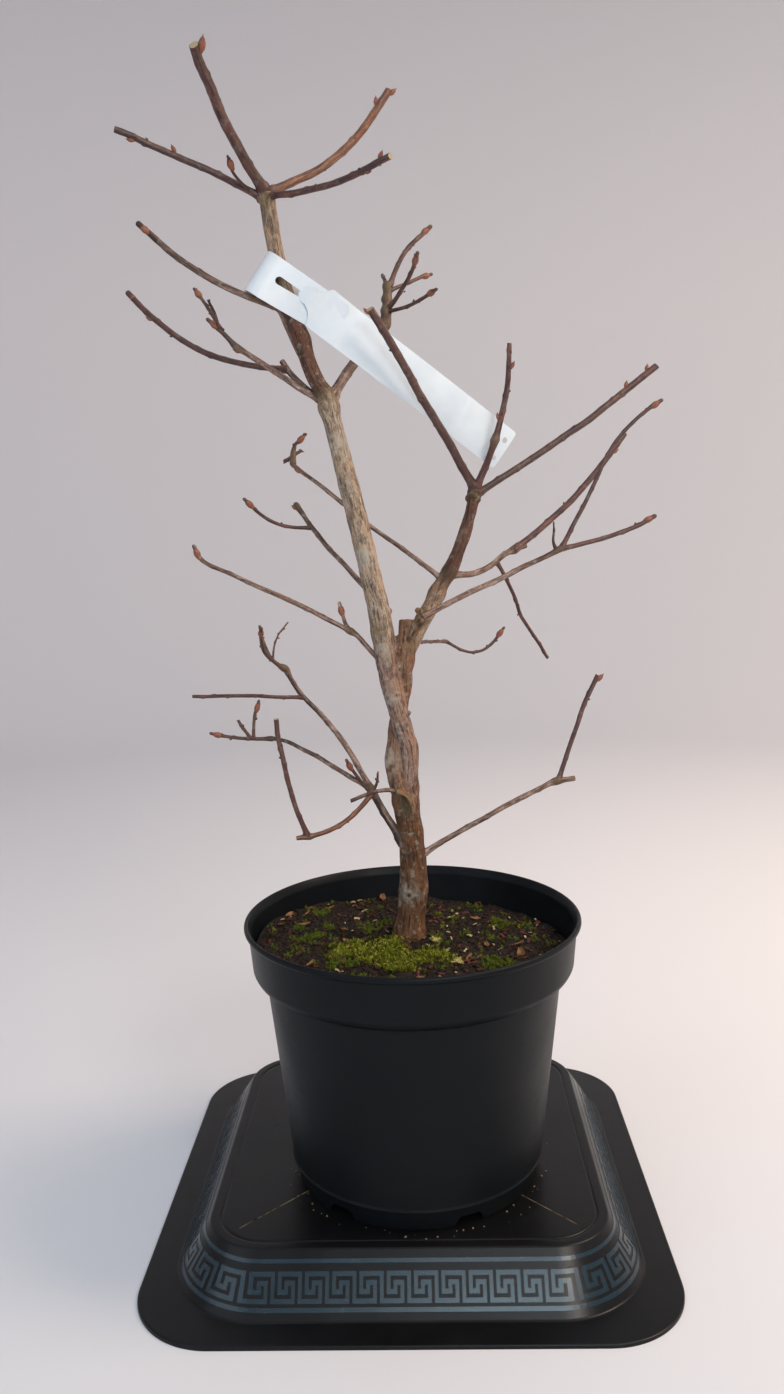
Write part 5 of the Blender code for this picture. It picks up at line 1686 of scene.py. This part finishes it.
local_places = (read_vectors(compost.data.vertices) - POT_AXIS) / MM
open_ground = (local_places[:, 2] > 172) & (np.hypot(*local_places[:, :2].T) > 9.0)
open_ground &= np.hypot(*local_places[:, :2].T) < 95.5
moss_masks = {}
for mask_name, patches, seed, edge in (
        ("cushion", CUSHION_PATCHES, 61, 0.6), ("clumps", CLUMP_PATCHES, 63, 0.9),
        ("brown_moss", BROWN_MOSS_PATCHES, 67, 0.9)):
    moss_masks[mask_name] = patch_mask(local_places, patches, seed, edge) * open_ground
    give_values(compost, mask_name, moss_masks[mask_name])
covered = np.maximum(moss_masks["cushion"], 0.8 * moss_masks["clumps"])
give_values(compost, "lichen_spots", open_ground * patch_mask(
    local_places, [(16, -16, 4), (22, -26, 4), (28, -44, 4), (26, 40, 2)], 71, 0.3))
give_values(compost, "bare", open_ground * np.clip(1 - 0.9 * covered, 0, 1))
print("share under moss:", round(float(covered[open_ground].mean()), 2))

# %% The compost's own material


def soil_material():
    material, tree, shader = new_material("damp_compost", 0.85, 0.25)
    vector = object_vector(tree)
    lumps = noise_mask(tree, vector, 260, 0.35, 0.7, 5, 0.7)
    bits = noise_mask(tree, vector, 700, 0.62, 0.68, 2)
    colour = mix_colour(tree, lumps, srgb(20, 15, 12), srgb(44, 32, 24))
    colour = mix_colour(tree, bits, colour, srgb(84, 60, 42))
    green = mix_colour(tree, lumps, srgb(22, 22, 10), srgb(46, 46, 18))
    colour = mix_colour(tree, attribute(tree, "cushion"), colour, green)
    feed(tree, shader, {"Base Color": colour})
    bump_into(tree, shader, lumps, 0.8, 0.8 * MM)
    return material


paint(compost, soil_material())
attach(compost, "root")
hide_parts("root_ball")

# %% [markdown]
# ## Moss, crumbs and litter
#
# Moss is thousands of tiny leafy sprigs. Between them lie crumbs of compost, bark chips and
# a few dry leaves. Placing them by hand would take days. One Geometry Nodes tree spreads
# points over the compost where a mask allows it, picks one of several small shapes for each
# point, turns and sizes it at random, and joins them all. Each kind has one clouded colour.

# %% Small shapes: sprigs, crumbs, chips and dry leaves


def shape_collection(name, makers):
    """A hidden collection of small shapes that a scatter picks from."""
    collection = bpy.data.collections.new(name)
    bpy.context.scene.collection.children.link(collection)
    for number, (points, faces) in enumerate(makers):
        piece = mesh_piece(f"{name}_{number}", points, faces, smooth=False)
        bpy.context.scene.collection.objects.unlink(piece)
        collection.objects.link(piece)
        piece.hide_render = True
    return collection


def sprig(rng, blades=9):
    """A moss sprig one unit high: narrow pointed leaves in a rising spiral."""
    points, faces = [], []
    for k in range(blades):
        angle = k * 2.4 + rng.uniform(-0.3, 0.3)
        foot = 0.62 * k / blades
        reach = rng.uniform(0.32, 0.5) * (1 - 0.45 * k / blades)
        rise = rng.uniform(0.22, 0.4)
        out = np.array([math.cos(angle), math.sin(angle), 0])
        side = np.array([-math.sin(angle), math.cos(angle), 0]) * 0.085
        base = np.array([0, 0, foot])
        start = len(points)
        middle = base + out * reach * 0.5 + (0, 0, rise * 0.75)
        points += [base, middle + side, base + out * reach + (0, 0, rise), middle - side]
        faces += [(start, start + 1, start + 2), (start, start + 2, start + 3)]
    return points, faces


def crumb(rng):
    """An uneven, somewhat flat lump about one unit across."""
    bm = bmesh.new()
    bmesh.ops.create_icosphere(bm, subdivisions=1, radius=0.5)
    points = [np.array(v.co) * rng.uniform(0.62, 1.15) * (1, 1, 0.75) for v in bm.verts]
    faces = [[v.index for v in face.verts] for face in bm.faces]
    bm.free()
    return points, faces


def chip(rng):
    """A bark chip one unit long: a bent, uneven slab."""
    wide, thick = rng.uniform(0.3, 0.5), rng.uniform(0.08, 0.14)
    points, faces = [], []
    for k, x in enumerate((-0.5, -0.05, 0.5)):
        lift = (0.0, rng.uniform(0.05, 0.14), 0.0)[k]
        half = wide * rng.uniform(0.3, 0.55)
        points += [(x, -half, lift), (x, half, lift), (x, half, lift + thick),
                   (x, -half, lift + thick)]
    for k in (0, 4):
        faces += [(k + a, k + (a + 1) % 4, k + 4 + (a + 1) % 4, k + 4 + a) for a in range(4)]
    faces = [face[::-1] for face in faces]
    return points, faces + [(0, 1, 2, 3), (11, 10, 9, 8)]


def dry_leaf(rng):
    """A curled dead leaf one unit long, two rows of faces either side of its midrib."""
    points = []
    curl, roll = rng.uniform(0.15, 0.3), rng.uniform(0.05, 0.16)
    for x in np.linspace(-0.5, 0.5, 6):
        half = 0.24 * math.cos(x * 2.9) ** 0.7 + 0.01
        for side in (-1, 0, 1):
            points.append((x, side * half, curl * x * x * 2 + roll * abs(side)
                           + rng.uniform(-0.02, 0.02)))
    return points, [face[::-1] for face in patch_faces(5)]


shapes_rng = np.random.default_rng(20)
sprig_shapes = shape_collection("sprig_shape", [sprig(shapes_rng) for _ in range(5)])
crumb_shapes = shape_collection("crumb_shape", [crumb(shapes_rng) for _ in range(5)])
chip_shapes = shape_collection("chip_shape", [chip(shapes_rng) for _ in range(4)])
leaf_shapes = shape_collection("leaf_shape", [dry_leaf(shapes_rng) for _ in range(3)])

# %% The tree that scatters them


def build_scatter_tree():
    tree, given, realize, node = new_geometry_tree("scatter_on_compost", [
        ("Shapes", "Collection", None), ("Mask", "String", "bare"),
        ("Per Square Metre", "Float", 1000.0), ("Smallest", "Float", MM),
        ("Largest", "Float", 2 * MM), ("Tilt", "Float", 0.5), ("Sink", "Float", 0.0),
        ("Seed", "Int", 1)])
    seed, most = given["Seed"], given["Tilt"]
    density = maths(tree, "MULTIPLY", named_value(tree, given["Mask"]), given["Per Square Metre"])
    spread = node("DistributePointsOnFaces", {
        "Mesh": given["Geometry"], "Density": density, "Seed": seed})
    shapes = node("CollectionInfo", {
        "Collection": given["Shapes"], "Separate Children": True, "Reset Children": True})
    least = maths(tree, "MULTIPLY", most, -1)
    tilt = add_node(tree, "FunctionNodeRandomValue", {
        0: combined(tree, least, least),
        1: combined(tree, most, most, 2 * math.pi), "Seed": seed},
        data_type="FLOAT_VECTOR")
    turn = add_node(tree, "FunctionNodeEulerToRotation", {0: tilt.outputs[0]})
    size = add_node(tree, "FunctionNodeRandomValue", {
        2: given["Smallest"], 3: given["Largest"], "Seed": seed}, data_type="FLOAT")
    lower = node("SetPosition", {
        "Geometry": spread["Points"],
        "Offset": combined(tree, 0, 0, given["Sink"])})
    copies = node("InstanceOnPoints", {
        "Points": lower[0], "Instance": shapes[0], "Pick Instance": True,
        "Rotation": turn.outputs[0], "Scale": size.outputs[1]})
    feed(tree, realize, {0: copies[0]})
    return tree


SCATTER_TREE = build_scatter_tree()

# %% Scatter each kind over the compost


def plain_material(name, colour, roughness):
    """One colour with a little cloudiness, for a kind of litter."""
    material, tree, shader = new_material(name, roughness, 0.2)
    cloud = noise_mask(tree, object_vector(tree), 330, 0.3, 0.7, 3)
    mixed = mix_colour(tree, cloud, tuple(c * 0.75 for c in colour),
                       tuple(min(1, c * 1.2) for c in colour))
    feed(tree, shader, {"Base Color": mixed})
    return material


def scatter(name, shapes, mask, density, sizes, tilt, sink, seed, colour, roughness=0.8,
            ground=compost):
    """Sizes and sink are in mm, and the tilt is in radians."""
    piece = grown_by(SCATTER_TREE, linked(name, ground.data.copy()), {
        "Shapes": shapes, "Mask": mask, "Per Square Metre": density,
        "Smallest": sizes[0] * MM, "Largest": sizes[1] * MM, "Tilt": tilt, "Sink": sink * MM,
        "Seed": seed, "Material": plain_material(name + "_colour", srgb(*colour), roughness)})
    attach(piece, "root")
    print(name, triangles(piece), "triangles")
    return piece


for kind in [
        ("bright_moss", sprig_shapes, "cushion", 3e5, (2.4, 5.6), 0.8, -0.5, 3, (104, 112, 24)),
        ("lime_moss", sprig_shapes, "cushion", 1.2e5, (2.2, 4.4), 0.5, -0.2, 5, (158, 156, 56)),
        ("russet_moss", sprig_shapes, "cushion", 3.4e5, (1.8, 4), 0.7, -0.3, 6, (74, 54, 26)),
        ("clump_moss", sprig_shapes, "clumps", 4e5, (2, 4.6), 0.7, -0.4, 7, (92, 104, 26)),
        ("dark_moss", sprig_shapes, "brown_moss", 2.2e5, (1.6, 3.8), 0.7, -0.4, 8, (66, 58, 24)),
        ("compost_crumbs", crumb_shapes, "bare", 1.1e5, (0.8, 3), 1.5, 0.2, 13, (33, 24, 18)),
        ("brown_crumbs", crumb_shapes, "bare", 34000.0, (0.7, 2.6), 1.5, 0.3, 17, (54, 37, 27)),
        ("bark_chips", chip_shapes, "bare", 6500.0, (3, 7), 0.5, 0.4, 19, (62, 40, 32)),
        ("red_litter", chip_shapes, "bare", 3200.0, (2, 5), 0.5, 0.8, 23, (92, 46, 38)),
        ("pale_litter", chip_shapes, "bare", 2400.0, (1.6, 4), 0.5, 0.9, 29, (170, 148, 112)),
        ("dry_leaves", leaf_shapes, "bare", 700.0, (6, 10), 0.35, 1.0, 31, (124, 88, 58), 0.6),
        ("lichen_scales", leaf_shapes, "lichen_spots", 6e4, (4, 8), 0.9, 1.6, 37, (164, 150, 92))]:
    scatter(*kind)

# %% A few crumbs lie on the platform round the pot's foot
SPILL_SIDES = 48
spill_ring = np.array([[(r * math.cos(t), r * math.sin(t), TRAY_TOP + 0.1 * MM)
                        for t in turns_of(SPILL_SIDES)]
                       for r in (FOOT_RADIUS + MM, FOOT_RADIUS + 11 * MM)])
spill = mesh_piece("spill_ring", (spill_ring + POT_AXIS).reshape(-1, 3), [
    (k, k + SPILL_SIDES, (k + 1) % SPILL_SIDES + SPILL_SIDES, (k + 1) % SPILL_SIDES)
    for k in range(SPILL_SIDES)])
give_values(spill, "bare", np.ones(2 * SPILL_SIDES))
scatter("spilt_crumbs", crumb_shapes, "bare", 16000.0, (0.5, 1.8), 1.5, 0.1, 41,
        (128, 104, 70), ground=spill)
bpy.data.objects.remove(spill, do_unlink=True)

# %% [markdown]
# ## The loop label
#
# Nurseries tie on a strip of white film. One end has a slot. The strip goes round the stem,
# and its necked part locks in the slot, with shoulders that stop it. The face stays blank
# here. Each part is a flat outline with holes, given its thickness, sliced across so that it
# can bend, and then bent along the strip's path.

# %% Where the label hangs
LABEL_FOLD = np.array([-79, -16.5, 584.5]) * MM
LABEL_RUN = np.array([0.799, 0.205, -0.567])
LABEL_RISE = np.array([0.578, 0.004, 0.816])
LABEL_HALF = 12.7
FILM = 0.34
LOOP_RADIUS = 8.2
LOOP_START = 9.0


def label_to_world(points):
    """From along, depth and across in mm to the world."""
    run = LABEL_RUN / np.linalg.norm(LABEL_RUN)
    rise = LABEL_RISE - run * (LABEL_RISE @ run)
    rise /= np.linalg.norm(rise)
    behind = np.cross(rise, run)
    points = np.asarray(points)
    return LABEL_FOLD + POT_AXIS + MM * (
        points[:, :1] * run + points[:, 1:2] * behind + points[:, 2:] * rise)


def film_mesh(name, outlines, slice_step=2.5):
    """A film from flat outlines in mm, sliced across and along for bending."""
    curve = bpy.data.curves.new(name, "CURVE")
    curve.dimensions = "2D"
    curve.fill_mode = "BOTH"
    curve.extrude = FILM / 2
    for outline in outlines:
        spline = curve.splines.new("POLY")
        spline.points.add(len(outline) - 1)
        spline.use_cyclic_u = True
        for place, (x, y) in zip(spline.points, outline):
            place.co = (x, y, 0, 1)
    flat = linked(name, curve)
    mesh = plain_mesh(flat)
    bpy.data.objects.remove(flat, do_unlink=True)
    bm = bmesh.new()
    bm.from_mesh(mesh)
    bmesh.ops.remove_doubles(bm, verts=bm.verts, dist=0.001)
    low = min(v.co.x for v in bm.verts)
    high = max(v.co.x for v in bm.verts)
    cuts = [((x, 0, 0), (1, 0, 0)) for x in np.arange(low + slice_step, high, slice_step)]
    cuts += [((0, y, 0), (0, 1, 0)) for y in np.linspace(-LABEL_HALF, LABEL_HALF, 7)[1:-1]]
    for place, way in cuts:
        bmesh.ops.bisect_plane(bm, geom=bm.verts[:] + bm.edges[:] + bm.faces[:],
                               plane_co=place, plane_no=way)
    bm.to_mesh(mesh)
    bm.free()
    return mesh


def arc(centre, radius, start, stop, steps=10):
    return [(centre[0] + radius * math.cos(a), centre[1] + radius * math.sin(a))
            for a in np.linspace(math.radians(start), math.radians(stop), steps)]


# %% Bend the slotted end round the stem
SLOT = (12.0, 29.0, 1.8)
SLOT_ACROSS = 1.6


def loop_bend(points):
    """The slotted end: flat in front, a half turn at the fold, and back behind the stem."""
    along, across, thick = points.T
    bent = np.zeros_like(points)
    front = along >= LOOP_START
    turn_length = math.pi * LOOP_RADIUS
    beyond = LOOP_START - along
    turning = ~front & (beyond < turn_length)
    angle = np.clip(beyond / LOOP_RADIUS, 0, math.pi)
    radius = LOOP_RADIUS - thick
    bent[:, 0] = np.where(front, along, LOOP_START - radius * np.sin(angle))
    bent[:, 1] = np.where(front, thick, LOOP_RADIUS - radius * np.cos(angle))
    straight = ~front & ~turning
    gone = beyond - turn_length
    bent[straight, 0] = LOOP_START + gone[straight]
    close = np.clip((gone - 22) / 25, 0, 1)
    closing = 2 * LOOP_RADIUS - 5.2 * np.clip(gone / 38, 0, 1) - 10.2 * close * close
    bent[straight, 1] = (closing - thick)[straight]
    away = np.clip((along - LOOP_START) / 31, 0, 1)
    bent[:, 1] -= 0.16 * across * away
    tucked = 0.3 * np.clip((gone - 4) / 14, 0, 1)
    bent[:, 2] = across * (1 - 0.11 * away - tucked) + 2.0 * away
    return bent


slot_hole = (arc((SLOT[1] - SLOT[2], SLOT_ACROSS), SLOT[2], -90, 90)
             + arc((SLOT[0] + 1.3 * SLOT[2], SLOT_ACROSS), 1.3 * SLOT[2], 90, 270))
loop_back = LOOP_START - math.pi * LOOP_RADIUS - 46.5
slotted_outline = [(loop_back, -5.0), (loop_back + 9, -LABEL_HALF), (54.0, -LABEL_HALF),
                   (56.5, -9.0), (56.5, 9.0), (54.0, LABEL_HALF), (loop_back + 9, LABEL_HALF),
                   (loop_back, 5.0)]
slotted = film_mesh("slotted_end", [slotted_outline, slot_hole])
print("slotted end from", round(read_vectors(slotted.vertices)[:, 0].min()),
      "to 56 mm along the strip")

# %% Bend the main strip, whose neck dips through the slot
FEED_HOLES = [(176.0, 4.9), (176.0, -7.6)]
main_outline = (
    arc((178.0, -10.7), 2.0, -90, 0, 5) + arc((178.0, 10.7), 2.0, 0, 90, 5)
    + [(42.5, LABEL_HALF), (41.0, 11.4), (39.2, 8.6), (37.4, 6.8)]
    + arc((31.5, 1.4), 4.9, 60, 285, 14)
    + [(36.2, -5.2), (37.6, -7.0), (39.0, -9.6), (39.6, -LABEL_HALF)])
feed_holes = [arc(centre, 1.7, 360, 18, 20) for centre in FEED_HOLES]
main = film_mesh("main_strip", [main_outline, *feed_holes], 1.6)


def main_bend(points):
    """In front of the slotted end, with the neck dipping back and a slight curl at the far end."""
    along, across, thick = points.T
    dip = np.clip((33 - along) / 7, 0, 1)
    bulge = 1.1 * np.exp(-((along - 34) / 4) ** 2)
    curl = 2.2 * np.clip((along - 110) / 70, 0, 1) ** 2
    wave = 0.35 * np.sin(along / 24) * np.clip((along - 50) / 20, 0, 1)
    crease = 0.5 * np.exp(-((along - 146) / 1.3) ** 2)
    cup = 0.004 * across ** 2 * np.clip((along - 46) / 10, 0, 1)
    depth = thick - 0.7 + 1.0 * dip * dip * (3 - 2 * dip) - bulge + curl + wave - crease + cup
    lift = 3.0 * np.clip((178 - along) / 140, 0, 1)
    return np.stack([along, depth - 0.16 * across * np.clip((60 - along) / 20, 0, 1),
                     across + lift], axis=1)


def bent_film(mesh, bend):
    placed = label_to_world(bend(read_vectors(mesh.vertices)))
    mesh.vertices.foreach_set("co", placed.reshape(-1))
    mesh.update()
    return mesh


def join_films(name, meshes, material):
    bm = bmesh.new()
    for mesh in meshes:
        bm.from_mesh(mesh)
    bmesh.ops.recalc_face_normals(bm, faces=bm.faces)
    data = bpy.data.meshes.new(name)
    bm.to_mesh(data)
    bm.free()
    piece = linked(name, data)
    paint(piece, material)
    return piece


def film_material():
    material, tree, shader = new_material("white_label_film", 0.38, 0.45)
    cloud = noise_mask(tree, object_vector(tree), 60, 0.3, 0.7, 3)
    colour = mix_colour(tree, cloud, srgb(226, 230, 232), srgb(214, 220, 224))
    feed(tree, shader, {"Base Color": colour})
    return material


label = join_films("blank_loop_label", [
    bent_film(slotted, loop_bend), bent_film(main, main_bend)], film_material())
smooth_by_angle(label, 40)
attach(label, "root")
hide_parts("label")
print("label:", triangles(label), "triangles")

# %% [markdown]
# ## Studio
#
# A dished sheet with a wide floor that curves up into a wall all round gives a plain pale
# ground from every side. A cool window stands at the left. A small warm lamp in front at the
# right lights the plant, and a warmer one washes the wall behind it. A wide lamp hangs
# overhead, and a low panel in front shows in the tray's frieze.

# %% Dished backdrop


BACKDROP_FLOOR = 1.7
BACKDROP_BEND = 1.1
BACKDROP_TOP = 4.2
BACKDROP_SIDES = 96


def build_backdrop():
    """Turned from a floor, a quarter round and a wall."""
    bend, sides = BACKDROP_BEND, BACKDROP_SIDES
    outline = [(BACKDROP_FLOOR + bend * math.sin(a), bend * (1 - math.cos(a)))
               for a in np.linspace(0, math.pi / 2, 14)]
    outline += [(BACKDROP_FLOOR + bend, BACKDROP_TOP)]
    points = [(radius * math.cos(turn), radius * math.sin(turn), height)
              for radius, height in outline for turn in turns_of(sides)]
    faces = [(k, (k + 1) % sides, len(points)) for k in range(sides)]
    for ring in range(len(outline) - 1):
        for k in range(sides):
            here, after = ring * sides + k, ring * sides + (k + 1) % sides
            faces.append((here, here + sides, after + sides, after))
    return mesh_piece("backdrop", points + [(0, 0, 0)], faces)


backdrop = build_backdrop()
backdrop_paint, _, backdrop_shader = new_material("pale_backdrop", 0.9, 0.1)
backdrop_shader.inputs["Base Color"].default_value = (*srgb(222, 221, 225), 1)
paint(backdrop, backdrop_paint)
print("backdrop:", triangles(backdrop), "triangles")

# %% Lamps


def soft_lamp(name, place, aim, size, power, colour):
    data = bpy.data.lights.new(name, "AREA")
    data.shape = "RECTANGLE"
    data.size, data.size_y = size
    data.energy = power
    data.color = colour
    lamp = linked(name, data)
    lamp.visible_camera = False
    lamp.location = place
    lamp.rotation_euler = (Vector(aim) - Vector(place)).to_track_quat("-Z", "Y").to_euler()


soft_lamp("window", (-1.5, -1.2, 1.2), (0, 0, 0.35), (1.4, 1.6), 8, (0.74, 0.87, 1.0))
soft_lamp("room_lamp", (0.75, -1.5, 1.25), (0, 0, 0.35), (0.45, 0.45), 12, (1.0, 0.92, 0.84))
soft_lamp("wall_wash", (1.1, -0.1, 1.3), (0.9, 1.6, 0.1), (0.9, 0.7), 26, (1.0, 0.78, 0.58))
soft_lamp("ceiling", (0, 0.2, 2.3), (0, 0, 0), (2.2, 2.2), 8, (0.78, 0.9, 1.0))
soft_lamp("front_panel", (0.22, -1.6, 0.74), (0.1, -0.15, 0.02), (0.6, 0.35), 6, (0.72, 0.9, 1.0))
world = bpy.data.worlds.new("studio_air")
world.use_nodes = True
air = world.node_tree.nodes["Background"].inputs
air["Color"].default_value = (0.82, 0.9, 1.0, 1)
air["Strength"].default_value = 0.36
bpy.context.scene.world = world
bpy.context.scene.view_settings.view_transform = "Standard"
print("lamps:", len(bpy.data.lights))

# %% Finish
print("scene built")
